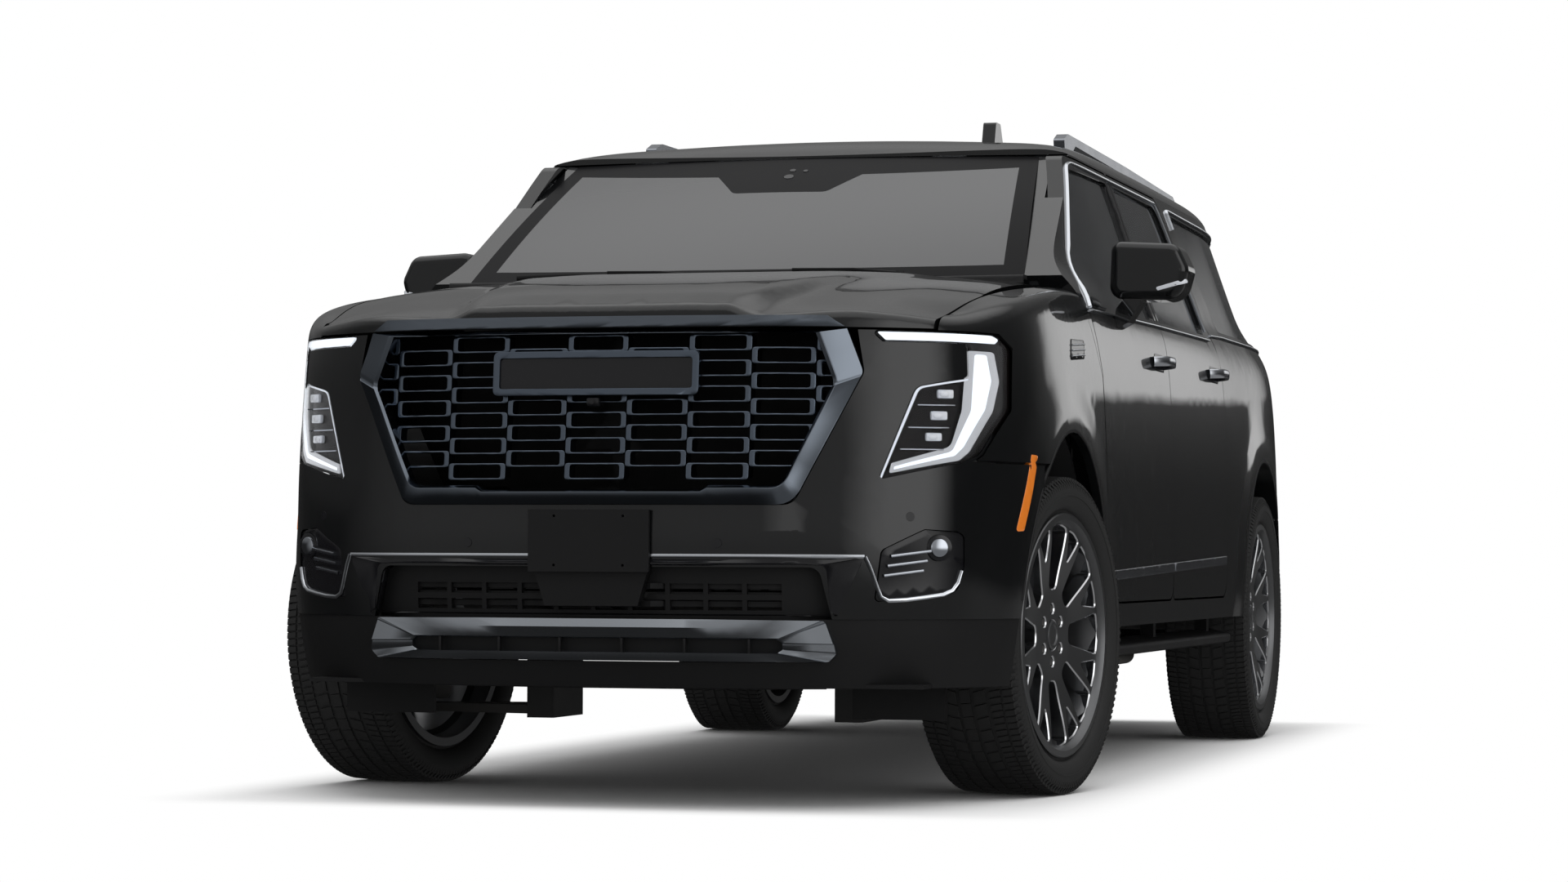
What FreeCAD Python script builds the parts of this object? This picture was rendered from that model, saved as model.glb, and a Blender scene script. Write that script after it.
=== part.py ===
import FreeCAD, Part
import math
import os
from FreeCAD import Placement, Rotation, Vector

# Full-size long-wheelbase sport utility vehicle, standing on its wheels.
# Millimetres, +Z up, the front faces -Y, the vehicle's left side is +X,
# and the origin lies on the ground under the middle of the vehicle.

doc = FreeCAD.newDocument("SportUtilityVehicle")
sheet = doc.addObject("Spreadsheet::Sheet", "Sizes")

SIZES = {
    "overall_length": 5720,
    "half_width": 1010,
    "flare_depth": 10,
    "wheelbase": 3407,
    "front_overhang": 1010,
    "axle_height": 419,
    "track_half": 867.5,
    "tyre_radius": 419,
    "tyre_width": 285,
    "rim_radius": 305,
    "steer_rest_deg": 9,
    "kingpin_x": 800,
    "arch_half_length": 475,
    "arch_height": 534,
    "rocker_bottom": 430,
    "door_bottom": 500,
    "belt_height": 1330,
    "door_top": 1785,
    "roof_edge_height": 1797,
    "hood_line": 1184,
    "door_gap": 6,
    "glass_gap": 0.4,
    "seat_gap": 0.3,
    "door_depth": 96,
    "frame_depth": 44,
    "glass_thickness": 5,
    "glass_inset": 9,
    "panel_thickness": 22,
    "front_door_start": 470,
    "door_split": 1555,
    "rear_door_end": 2585,
    "rail_half_spacing": 430,
    "spoke_count": 8,
}


for row, (name, value) in enumerate(SIZES.items(), 1):
    sheet.set(f"A{row}", name)
    sheet.set(f"B{row}", str(value))
    sheet.setAlias(f"B{row}", name)
doc.recompute()


def size(name):
    return float(sheet.get(name))


half_length = size("overall_length") / 2
half_width = size("half_width")
front_axle = size("front_overhang") - half_length
rear_axle = front_axle + size("wheelbase")
axle_height = size("axle_height")
front_door_front = front_axle + size("front_door_start")
door_split = front_axle + size("door_split")
rear_door_back = front_axle + size("rear_door_end")
belt = size("belt_height")
door_top = size("door_top")
roof_edge = size("roof_edge_height")
hood_line = size("hood_line")
gap = size("door_gap")


def smooth(value):
    value = min(max(value, 0.0), 1.0)
    return value * value * (3 - 2 * value)


# A smooth curve through (position, value) pairs, natural cubic between them.
def spline(points):
    xs = [p[0] for p in points]
    ys = [p[1] for p in points]
    count = len(xs)
    bends = [0.0] * count
    work = [0.0] * count
    for i in range(1, count - 1):
        share = (xs[i] - xs[i - 1]) / (xs[i + 1] - xs[i - 1])
        pivot = share * bends[i - 1] + 2.0
        bends[i] = (share - 1.0) / pivot
        slope = (ys[i + 1] - ys[i]) / (xs[i + 1] - xs[i])
        slope -= (ys[i] - ys[i - 1]) / (xs[i] - xs[i - 1])
        work[i] = (6.0 * slope / (xs[i + 1] - xs[i - 1]) - share * work[i - 1]) / pivot
    for i in range(count - 2, -1, -1):
        bends[i] = bends[i] * bends[i + 1] + work[i]

    def at(x):
        x = min(max(x, xs[0]), xs[-1])
        k = 0
        while k < count - 2 and x > xs[k + 1]:
            k += 1
        step = xs[k + 1] - xs[k]
        a = (xs[k + 1] - x) / step
        b = 1.0 - a
        bend = (a ** 3 - a) * bends[k] + (b ** 3 - b) * bends[k + 1]
        return a * ys[k] + b * ys[k + 1] + bend * step * step / 6.0

    return at


# Plan outline of the left half at bumper height, from the middle of the nose
# round the corner, along the side and round the tail: half width against the
# distance behind the front end, then against the distance ahead of the rear end.
NOSE_PLAN = [(0, 0), (280, 9), (560, 60), (742, 148), (872, 270), (937, 400), (978, 530), (1000, 690)]
TAIL_PLAN = [(1004, 1460), (984, 860), (930, 460), (872, 225), (780, 92), (600, 30), (300, 7), (0, 0)]
plan_points = [Vector(x, y - half_length, 0) for x, y in NOSE_PLAN]
plan_points += [Vector(half_width - 1, front_axle, 0), Vector(half_width, front_door_front, 0)]
plan_points += [Vector(half_width, door_split, 0), Vector(half_width, rear_door_back, 0)]
plan_points += [Vector(x, half_length - y, 0) for x, y in TAIL_PLAN]
beyond_nose = [Vector(-p.x, p.y, 0) for p in reversed(plan_points[1:4])]
beyond_tail = [Vector(-p.x, p.y, 0) for p in reversed(plan_points[-4:-1])]
plan = Part.BSplineCurve()
plan.interpolate(beyond_nose + plan_points + beyond_tail)
nose_middle = plan.parameter(plan_points[0])
tail_middle = plan.parameter(plan_points[-1])

# How far the body side falls in, the nose leans back and the tail leans in, by height.
side_fall = spline([(150, -70), (330, -28), (430, -12), (560, -1), (700, 0), (850, 0), (1000, -5),
                    (1150, -14), (1250, -26), (1310, -42), (1345, -58), (1450, -96), (1600, -148),
                    (1770, -208), (1850, -240), (1950, -282)])
nose_lean = spline([(150, 90), (265, 60), (362, 30), (470, 8), (600, 0), (700, 0), (850, 14),
                    (1050, 32), (1190, 45), (1260, 56), (1400, 80), (1950, 160)])
tail_lean = spline([(150, 70), (330, 25), (450, 4), (600, 0), (700, 4), (790, 24), (860, 42),
                    (1000, 50), (1200, 62), (1350, 86), (1500, 140), (1650, 205), (1800, 284),
                    (1950, 370)])
NOSE_BLEND = 800
TAIL_BLEND = 1300


def flare(y, z):
    depth = 0.0
    for centre in (front_arch, rear_arch):
        reach = math.hypot((y - centre) / size("arch_half_length"), (z - axle_height) / size("arch_height"))
        depth += size("flare_depth") * smooth((1.34 - reach) / 0.28)
    return depth


front_arch = front_axle - 30
rear_arch = rear_axle - 10


# A point of the body's outer skin at a station of the plan outline and a height.
def skin(station, z):
    if station < nose_middle or station > tail_middle:
        end = nose_middle if station < nose_middle else tail_middle
        other = skin(2 * end - station, z)
        return Vector(-other.x, other.y, other.z)
    p = plan.value(station)
    x = p.x * (half_width + side_fall(z)) / half_width
    y = p.y + nose_lean(z) * smooth((NOSE_BLEND - half_length - p.y) / NOSE_BLEND + 0.0)
    y -= tail_lean(z) * smooth((p.y - half_length + TAIL_BLEND) / TAIL_BLEND)
    above = smooth((z - belt) / 160)
    x -= above * 78 * smooth((front_axle + 1150 - p.y) / 1150) * p.x / half_width
    x -= above * 70 * smooth((p.y - rear_axle + 200) / 1250) * p.x / half_width
    x += flare(y, z) * smooth(p.x / 300 - 1)
    return Vector(x, y, z)


SAMPLES = 3000
stations = [nose_middle + i * (tail_middle - nose_middle) / SAMPLES for i in range(SAMPLES + 1)]


def station_at_y(y):
    low, high = 0, SAMPLES
    while high - low > 1:
        middle = (low + high) // 2
        if plan.value(stations[middle]).y < y:
            low = middle
        else:
            high = middle
    return stations[low]


def station_at_front_x(x):
    return next(s for s in stations if plan.value(s).x >= x)


def station_at_rear_x(x):
    return next(s for s in reversed(stations) if plan.value(s).x >= x)


# A station on the right half of the nose, and one on the right half of the tail.
def across_nose(station):
    return 2 * nose_middle - station


def across_tail(station):
    return 2 * tail_middle - station


def steps(first, last, count):
    return [first + (last - first) * i / count for i in range(count + 1)]


def surface(grid):
    face = Part.BSplineSurface()
    face.interpolate(grid)
    return face


# The same grid moved against its normals by a depth that may vary with height.
def offset_grid(grid, depth):
    rows = len(grid)
    columns = len(grid[0])
    moved = []
    for i in range(rows):
        row = []
        for j in range(columns):
            along = grid[min(i + 1, rows - 1)][j] - grid[max(i - 1, 0)][j]
            across = grid[i][min(j + 1, columns - 1)] - grid[i][max(j - 1, 0)]
            normal = along.cross(across).normalize()
            distance = depth(grid[i][j]) if callable(depth) else depth
            row.append(grid[i][j] - normal * distance)
        moved.append(row)
    return moved


# A solid sheet between two grids of the same shape.
def solid_between(outer, inner):
    near = surface(outer)
    far = surface(inner)
    faces = [near.toShape(), far.toShape()]
    n = near.bounds()
    f = far.bounds()
    pairs = [(near.uIso(n[0]), far.uIso(f[0])), (near.uIso(n[1]), far.uIso(f[1])),
             (near.vIso(n[2]), far.vIso(f[2])), (near.vIso(n[3]), far.vIso(f[3]))]
    for a, b in pairs:
        faces.append(Part.makeRuledSurface(a.toShape(), b.toShape()))
    shell = Part.makeShell(faces)
    shell.sewShape()
    solid = Part.makeSolid(shell)
    if solid.Volume < 0:
        solid.reverse()
    return solid


# Part of the body wall between two stations and two heights, from one depth to another.
def wall(first, last, low, high, outer_depth, inner_depth, step=60):
    a = steps(first, last, max(3, int((last - first) / plan_step(step))))
    b = steps(low, high, max(3, int((high - low) / step)))
    grid = [[skin(s, z) for z in b] for s in a]
    outer = grid if outer_depth == 0 else offset_grid(grid, outer_depth)
    return solid_between(outer, offset_grid(grid, inner_depth))


plan_length = plan.length(nose_middle, tail_middle)


def plan_step(step):
    return step * (tail_middle - nose_middle) / plan_length


# A closed outline with rounded corners, as straight lines and arcs.
def outline_curves(points, radius=0.0, place=lambda a, b: Vector(a, b, 0)):
    count = len(points)
    corners = []
    for i in range(count):
        here = Vector(points[i][0], points[i][1], 0)
        back = Vector(points[i - 1][0], points[i - 1][1], 0) - here
        ahead = Vector(points[(i + 1) % count][0], points[(i + 1) % count][1], 0) - here
        r = points[i][2] if len(points[i]) > 2 else radius
        angle = back.getAngle(ahead)
        if r <= 0 or angle > math.pi - 0.02:
            corners.append((here, here, here))
            continue
        reach = min(r / math.tan(angle / 2), 0.48 * back.Length, 0.48 * ahead.Length)
        r = reach * math.tan(angle / 2)
        middle = (back.normalize() + ahead.normalize()).normalize()
        apex = here + middle * (r / math.sin(angle / 2) - r)
        corners.append((here + back * reach, apex, here + ahead * reach))
    edges = []
    for i in range(count):
        start, apex, end = [place(c.x, c.y) for c in corners[i]]
        if start.distanceToPoint(end) > 0.01:
            edges.append(Part.Arc(start, apex, end))
        following = place(corners[(i + 1) % count][0].x, corners[(i + 1) % count][0].y)
        if end.distanceToPoint(following) > 0.01:
            edges.append(Part.LineSegment(end, following))
    return edges


def outline(points, radius=0.0, place=lambda a, b: Vector(a, b, 0)):
    return Part.Wire([curve.toShape() for curve in outline_curves(points, radius, place)])


# Prisms whose outline is seen from the side (y, z), from the front (x, z) or from above (x, y).
def side_prism(points, low, high, radius=0.0):
    wire = outline(points, radius, lambda a, b: Vector(low, a, b))
    return Part.Face(wire).extrude(Vector(high - low, 0, 0))


def front_prism(points, low, high, radius=0.0):
    wire = outline(points, radius, lambda a, b: Vector(a, low, b))
    return Part.Face(wire).extrude(Vector(0, high - low, 0))


def plan_prism(points, low, high, radius=0.0):
    wire = outline(points, radius, lambda a, b: Vector(a, b, low))
    return Part.Face(wire).extrude(Vector(0, 0, high - low))


def box(x0, x1, y0, y1, z0, z1):
    return Part.makeBox(x1 - x0, y1 - y0, z1 - z0, Vector(x0, y0, z0))


def tube(start, end, radius):
    return Part.makeCylinder(radius, (end - start).Length, start, end - start)


def mirrored(shape):
    return shape.mirror(Vector(0, 0, 0), Vector(1, 0, 0))


def both(shape):
    return Part.makeCompound([shape, mirrored(shape)])


def joined(shapes):
    result = shapes[0]
    if len(shapes) > 1:
        result = shapes[0].fuse(shapes[1:])
    return result.removeSplitter()


# An outline moved outward by an amount, with its corner radii kept concentric.
def grow(points, amount, radius=0.0):
    count = len(points)
    area = sum(points[i - 1][0] * points[i][1] - points[i][0] * points[i - 1][1] for i in range(count))
    turn = 1 if area > 0 else -1
    moved = []
    for i in range(count):
        before, here, after = points[i - 1], points[i], points[(i + 1) % count]
        first = Vector(here[0] - before[0], here[1] - before[1], 0).normalize()
        second = Vector(after[0] - here[0], after[1] - here[1], 0).normalize()
        first_out = Vector(first.y, -first.x, 0) * turn
        second_out = Vector(second.y, -second.x, 0) * turn
        shift = (first_out + second_out) * (amount / (1 + first_out.dot(second_out)))
        corner = here[2] if len(here) > 2 else radius
        bend = first.cross(second).z * turn
        if corner > 0:
            corner = max(corner + (amount if bend > 0 else -amount), 0.0)
        moved.append((here[0] + shift.x, here[1] + shift.y, corner))
    return moved


def placed(shape, placement):
    return shape.transformed(placement.Matrix, True)


# The largest solid of a shape once another shape, and a copy of that moved by a gap, is cut away.
def clear_of(shape, other, shift):
    moved = other.copy()
    moved.translate(shift)
    return max(shape.cut(other).cut(moved).Solids, key=lambda solid: solid.Volume)


parts = []


def add_part(name, shape):
    part = doc.addObject("Part::Feature", name)
    part.Label = name
    part.Shape = shape
    part.Placement = Placement()
    parts.append(part)
    return part


FAR = 1400


# The wheel arch's opening, an upright ellipse, cut along X.
def arch_opening(centre, extra=0.0, low=0.0, high=FAR):
    upright = size("arch_height") + extra
    level = size("arch_half_length") + extra
    ellipse = Part.Ellipse(Vector(0, 0, 0), upright, level)
    solid = Part.Face(Part.Wire([ellipse.toShape()])).extrude(Vector(0, 0, high - low))
    turn = FreeCAD.Matrix(0, 0, 1, low, 0, -1, 0, centre, 1, 0, 0, axle_height, 0, 0, 0, 1)
    solid.Placement = Placement(turn)
    return solid

# Door outlines seen from the side, as (y, z) with a corner radius, one running gap smaller
# than the openings in the body.
def pillar_line(z):
    return front_door_front - 75 + (z - 1300) * 545 / 482


front_door_outline = [
    (front_door_front, size("door_bottom"), 40), (door_split - gap / 2, size("door_bottom"), 40),
    (door_split - gap / 2, door_top, 20), (pillar_line(1765), door_top, 60),
    (pillar_line(1300), 1300, 30), (front_door_front, 1130, 60)]
rear_door_outline = [
    (door_split + gap / 2, size("door_bottom"), 40), (rear_door_back - 12, size("door_bottom"), 60),
    (rear_door_back, 1000, 200), (rear_door_back, 1310, 60),
    (rear_door_back - 175, door_top, 60), (door_split + gap / 2, door_top, 20)]
front_window_outline = [
    (pillar_line(1300) + 40, belt - 6, 30), (door_split - 52, belt + 6, 15),
    (door_split - 62, door_top - 30, 15), (pillar_line(1755) + 25, door_top - 38, 50)]
rear_window_outline = [
    (door_split + 48, belt + 8, 15), (rear_door_back - 118, belt + 16, 30),
    (rear_door_back - 258, door_top - 32, 60), (door_split + 38, door_top - 30, 15)]
quarter_window_outline = [
    (rear_door_back + 240, belt + 48, 40), (half_length - 560, belt + 52, 60),
    (half_length - 730, door_top - 44, 60), (rear_door_back - 15, door_top - 34, 40)]


def door_depth(point):
    share = smooth((point.z - belt + 60) / 90)
    return size("door_depth") + (size("frame_depth") - size("door_depth")) * share


def opening_depth(point):
    return door_depth(point - Vector(0, 0, 12)) + gap


def wall_depth(point):
    return door_depth(point) + gap + 42


def make_door(name, first, last, door_outline, window_outline):
    panel = wall(station_at_y(first - 60), station_at_y(last + 60), size("door_bottom") - 60,
                 door_top + 40, 0, door_depth)
    panel = panel.common(side_prism(door_outline, 0, FAR))
    panel = panel.cut(side_prism(window_outline, 0, FAR))
    add_part(name + "_left", panel)
    add_part(name + "_right", mirrored(panel))
    glass = wall(station_at_y(first - 60), station_at_y(last + 60), belt - 40, door_top + 20,
                 size("glass_inset"), size("glass_inset") + size("glass_thickness"))
    glass = glass.common(side_prism(grow(window_outline, -size("glass_gap")), 0, FAR))
    add_part(name + "_glass_left", glass)
    add_part(name + "_glass_right", mirrored(glass))


make_door("front_door", pillar_line(1300), door_split, front_door_outline, front_window_outline)
make_door("rear_door", door_split, rear_door_back, rear_door_outline, rear_window_outline)


# The windshield's side edge seen from the side, as y at a height.
def windshield_line(z):
    return -1520 + (z - 1395) * 675 / 394


REAR_BUMPER_TOP = 760
BODY_SIDE_OUTLINE = [
    (front_door_front - gap, size("rocker_bottom")), (rear_axle, size("rocker_bottom")),
    (rear_axle, REAR_BUMPER_TOP + gap / 2), (half_length + 100, REAR_BUMPER_TOP + gap / 2),
    (half_length + 100, roof_edge), (windshield_line(roof_edge), roof_edge),
    (windshield_line(1395), 1395), (windshield_line(1395) + 20, belt - 60),
    (front_door_front - gap, 1120)]


# The fixed body side: pillars, rocker, quarter panel and the frames behind the doors' edges.
def make_body_side():
    last = station_at_rear_x(790)
    side = wall(station_at_y(front_axle + 300), last, size("rocker_bottom") - 40,
                roof_edge + 20, 0, wall_depth)
    side = side.common(side_prism(BODY_SIDE_OUTLINE, 0, FAR))
    pocket = wall(station_at_y(front_axle + 250), station_at_y(rear_door_back + 150),
                  size("door_bottom") - 80, roof_edge + 10, -30, opening_depth)
    seal = wall(station_at_y(front_axle + 300), station_at_y(rear_door_back + 100), 880, 960,
                lambda point: door_depth(point) + size("seat_gap"), lambda point: opening_depth(point) + 2)
    for door_outline in (front_door_outline, rear_door_outline):
        ring = side_prism(grow(door_outline, -20), 0, FAR).cut(side_prism(grow(door_outline, -46), 0, FAR))
        side = side.cut(pocket.common(side_prism(grow(door_outline, gap), 0, FAR)))
        side = side.cut(side_prism(grow(door_outline, -48), 0, FAR))
        side = side.fuse(seal.common(ring))
    side = side.cut(side_prism(quarter_window_outline, 0, FAR))
    side = side.cut(arch_opening(rear_arch))
    side = side.cut(front_prism(grow(mirror_outline(LIFTGATE_HALF), gap), half_length - 500, half_length + 100, 30))
    side = side.cut(tail_lamp_cutter)
    add_part("body_side_left", side)
    add_part("body_side_right", mirrored(side))
    glass = wall(station_at_y(rear_door_back - 80), station_at_y(half_length - 420), belt - 20,
                 door_top + 10, size("glass_inset"), size("glass_inset") + size("glass_thickness"))
    glass = glass.common(side_prism(grow(quarter_window_outline, -size("glass_gap")), 0, FAR))
    add_part("quarter_glass", both(glass))


LIFTGATE_HALF = [(0, REAR_BUMPER_TOP + gap / 2), (726, REAR_BUMPER_TOP + gap / 2, 30), (735, 1000),
                 (700, 1360), (600, 1770), (560, 1850), (0, 1850)]


# A full outline from its half, listed from the bottom middle to the top middle.
def mirror_outline(half):
    return half[1:-1] + [(-p[0],) + tuple(p[1:]) for p in reversed(half[1:-1])]


tail_lamp_region = front_prism([(748, 880), (1100, 880), (1100, 1700), (748, 1640)],
                               half_length - 420, half_length + 100)
tail_lamp_cutter = wall(station_at_y(half_length - 330), station_at_rear_x(700), 880, 1700,
                        -20, 46).common(tail_lamp_region)


def make_tail_lamps():
    lamp = wall(station_at_y(half_length - 329.5), station_at_rear_x(745), 880.5, 1699,
                0, 45.5)
    lamp = lamp.common(front_prism([(748.5, 881), (1100, 881), (1100, 1696), (748.5, 1636)],
                                   half_length - 420, half_length + 100))
    add_part("tail_lamps", both(lamp))


make_body_side()
make_tail_lamps()

# Hood and fender tops: crest height along the vehicle, edge height at the fender line,
# and the crease where the raised middle ends.
crest_height = spline([(-2880, 1228), (-2790, 1247), (-2700, 1277), (-2600, 1302), (-2400, 1334),
                       (-2190, 1360), (-1900, 1388), (-1600, 1408), (-1300, 1415)])
edge_height = spline([(-2880, 1150), (-2700, 1182), (-2569, 1205), (-2400, 1255), (-2200, 1300),
                      (-1826, 1346), (-1600, 1362), (-1300, 1366)])
crease_x = spline([(-2880, 316), (-2790, 328), (-2600, 360), (-2190, 418), (-1600, 520), (-1300, 560)])
crease_step = spline([(-2880, 22), (-2600, 24), (-2190, 14), (-1800, 6), (-1300, 2)])
EDGE_X = 860


def hood_top(x, y):
    x = abs(x)
    crease = crease_x(y)
    share = max(0.0, x - crease * 0.6) / (EDGE_X - crease * 0.6)
    height = crest_height(y) - (crest_height(y) - edge_height(y)) * share ** 1.7
    height -= crease_step(y) * smooth((x - crease) / 70) * (1 - smooth((x - crease - 60) / 260))
    return height


HOOD_SIDE = [(780, -2900), (806, -2700), (817, -2569), (868, -2150), (900, -1826), (912, -1640)]
HOOD_BACK = -1645
HOOD_EDGE_RADIUS = 32
HOOD_DEPTH = 14
HOOD_BAR_GAP = 0.8


NOSE_FRONT = -half_length - 100


def nose_prism(points, radius=0.0, back=-2200):
    return front_prism(points, NOSE_FRONT, back, radius)


def nose_y(x, z):
    return skin(station_at_front_x(abs(x)), z).y


def make_hood():
    columns = steps(-850, 850, 46)
    grid = []
    for x in columns:
        front = nose_y(x, 1200)
        turn = math.radians(78)
        top_y = front + HOOD_EDGE_RADIUS * (1 - math.cos(turn))
        top_z = hood_top(x, top_y)
        low_z = top_z - HOOD_EDGE_RADIUS * math.sin(turn)
        column = [Vector(x, front, z) for z in steps(low_z - 70, low_z, 6)[:-1]]
        for angle in steps(0, turn, 4):
            column.append(Vector(x, front + HOOD_EDGE_RADIUS * (1 - math.cos(angle)),
                                 low_z + HOOD_EDGE_RADIUS * math.sin(angle)))
        for y in [top_y + step for step in (10, 25, 50, 90)] + steps(top_y + 140, HOOD_BACK + 20, 24):
            column.append(Vector(x, y, hood_top(x, y)))
        grid.append(column)
    panel = solid_between(grid, offset_grid(grid, HOOD_DEPTH))
    plan_half = [(x - gap / 2, y) for x, y in HOOD_SIDE]
    plan_half[-1] = (plan_half[-1][0], HOOD_BACK)
    shape = plan_half + [(-x, y) for x, y in reversed(plan_half)]
    panel = panel.common(plan_prism(shape, hood_line + gap / 2, 1600))
    add_part("hood", panel)
    # The upper bar of the grille's frame is carried by the hood's front face.
    rows = steps(hood_line - 10, 1240, 5)
    outer = [[Vector(x, nose_y(x, 1200) - 12, z) for z in rows] for x in columns]
    inner = [[Vector(x, nose_y(x, 1200) - HOOD_BAR_GAP, z) for z in rows] for x in columns]
    bar = solid_between(outer, inner)
    low = hood_line + gap / 2
    add_part("hood_bar", bar.common(nose_prism([(-618, low), (618, low), (575, 1216), (-575, 1216)])))


def make_fenders():
    first = station_at_y(-2640)
    last = station_at_y(front_door_front + 20)
    grid = []
    radius = 48
    turn = math.radians(72)
    for s in steps(first, last, 34):
        edge = skin(s, 1240)
        x_top = edge.x - radius * (1 - math.cos(turn))
        z_low = hood_top(x_top, edge.y) - radius * math.sin(turn)
        column = [skin(s, z) for z in steps(size("rocker_bottom") - 20, z_low - 30, 17)]
        for angle in steps(0, turn, 4):
            z = z_low + radius * math.sin(angle)
            here = skin(s, min(z, z_low + 8))
            column.append(Vector(here.x - radius * (1 - math.cos(angle)), here.y, z))
        for x in steps(column[-1].x, 740, 5)[1:]:
            column.append(Vector(x, column[-1].y, hood_top(x, column[-1].y)))
        grid.append(column)
    panel = solid_between(grid, offset_grid(grid, size("panel_thickness")))
    cut_line = [(x + gap / 2, y) for x, y in HOOD_SIDE]
    outside = cut_line + [(cut_line[-1][0], -1600), (cut_line[-1][0] - 40, -1200), (1300, -1200), (1300, -2900)]
    panel = panel.common(plan_prism(outside, 300, 1700))
    panel = panel.common(side_prism([
        (-2900, 863), (-1900, 863), (-1900, size("rocker_bottom")),
        (front_door_front - gap, size("rocker_bottom")), (front_door_front - gap, 1500), (-2900, 1500)], 0, FAR))
    panel = panel.cut(side_prism(grow(BODY_SIDE_OUTLINE, 0.5 * gap), 0, FAR))
    panel = panel.common(front_prism(FENDER_FRONT, -3000, -1000))
    panel = panel.cut(arch_opening(front_arch))
    hood_solid = next(part for part in parts if part.Label == "hood").Shape.copy()
    foot = box(778, skin(station_at_y(-2100), 1238).x - 8, -2112, -2088, 1232, 1244)
    post = joined([tube(Vector(790, -2100, 1235), Vector(790, -2100, 1320), 12), foot])
    post = post.cut(hood_solid)
    hood_solid.translate(Vector(0, 0, -size("seat_gap")))
    post = min(post.cut(hood_solid).Solids, key=lambda solid: solid.BoundBox.ZMin)
    tabs = [wall(station_at_y(front_door_front - 36), station_at_y(front_door_front - gap - size("seat_gap")),
                 z, z + 40, 12, lambda point: opening_depth(point) + 16) for z in (705, 1030)]
    panel = joined([panel, post] + tabs)
    add_part("front_fender_left", panel)
    add_part("front_fender_right", mirrored(panel))


RAIL_FRONT = 640
LAMP_OUTLINE = [(669, 1181, 8), (920, 1181, 30), (945, 1150, 40), (948, 992, 60), (905, 878, 40),
                (872, 856, 20), (697, 812, 8), (774, 1043, 30), (879, 1068, 12), (875, 1152, 12),
                (699, 1152, 8)]
FENDER_FRONT = [(780, hood_line), (930, hood_line), (953, 1150), (956, 992), (912, 876), (900, 863),
                (900, 300), (1200, 300), (1200, 1700), (780, 1700)]
make_hood()
make_fenders()

roof_line = spline([(-1000, 1752), (-900, 1800), (-860, 1815), (-800, 1836), (-700, 1860), (-600, 1875),
                    (-400, 1889), (0, 1897), (800, 1898), (1600, 1890), (2200, 1876), (2600, 1858)])
ROOF_BACK = 2470


def roof_top(x, y):
    centre = roof_line(y)
    return centre - 0.3 * (centre - roof_edge) * (x / 700) ** 2


# The windshield: across is -1 to 1, up is 0 to 1.
def windshield_point(across, up):
    low = Vector(805 * across, -1613 + 93 * across ** 2, 1393 + 2 * across ** 2)
    high = Vector(705 * across, -895 + 50 * across ** 2, 1795 - 4 * across ** 2)
    point = low + (high - low) * up
    return point + Vector(0, -0.48, 0.87) * 14 * 4 * up * (1 - up)


def make_roof():
    grid = []
    for s in steps(station_at_y(-1000), station_at_y(2790), 60):
        edge = skin(s, roof_edge)
        below = skin(s, roof_edge - 30)
        top = roof_top(edge.x - 100, edge.y)
        rise = top - roof_edge
        column = [below, edge]
        for inward, share in ((20, 0.38), (50, 0.70), (100, 0.93)):
            column.append(Vector(edge.x - inward, edge.y, roof_edge + rise * share))
        for x in steps(edge.x - 180, 0, 8):
            column.append(Vector(x, edge.y, roof_top(x, edge.y)))
        grid.append(column + [Vector(-p.x, p.y, p.z) for p in reversed(column[:-1])])
    panel = solid_between(grid, offset_grid(grid, size("frame_depth")))
    glass_edge = [(windshield_point(a, 1).x, windshield_point(a, 1).y + 6) for a in steps(-1, 1, 16)]
    outside = [(-1200, glass_edge[0][1] + 20)] + glass_edge + [(1200, glass_edge[-1][1] + 20),
                                                              (1200, ROOF_BACK), (-1200, ROOF_BACK)]
    panel = panel.common(plan_prism(outside, roof_edge + 0.3, 2000))
    add_part("roof", panel)


def make_windshield():
    grid = [[windshield_point(a, u) for u in steps(0, 1, 8)] for a in steps(-1, 1, 20)]
    glass = solid_between(grid, offset_grid(grid, size("glass_thickness")))
    pillar = next(part for part in parts if part.Label == "body_side_left").Shape
    glass = clear_of(glass, pillar, Vector(-size("glass_gap"), 0, 0))
    add_part("windshield", clear_of(glass, mirrored(pillar), Vector(size("glass_gap"), 0, 0)))


def make_cowl():
    grid = []
    for x in steps(-845, 845, 20):
        seat = windshield_point(x / 805, 0).z - 4.7
        grid.append([Vector(x, y, seat - 34 * smooth((HOOD_BACK + 22 - y) / 40))
                     for y in steps(HOOD_BACK, -1480, 16)])
    panel = solid_between(grid, offset_grid(grid, 12))
    edge = [(windshield_point(a, 0).x, windshield_point(a, 0).y + 8) for a in steps(-1, 1, 12)]
    panel = panel.common(plan_prism([(-826, HOOD_BACK + gap), (-826, HOOD_BACK + 60), (-784, HOOD_BACK + 90)] +
                                    edge[1:-1] + [(784, HOOD_BACK + 90), (826, HOOD_BACK + 60),
                                                  (826, HOOD_BACK + gap)], 1200, 1500))
    add_part("cowl", panel)


SPOILER_BACK = 2690


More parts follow.
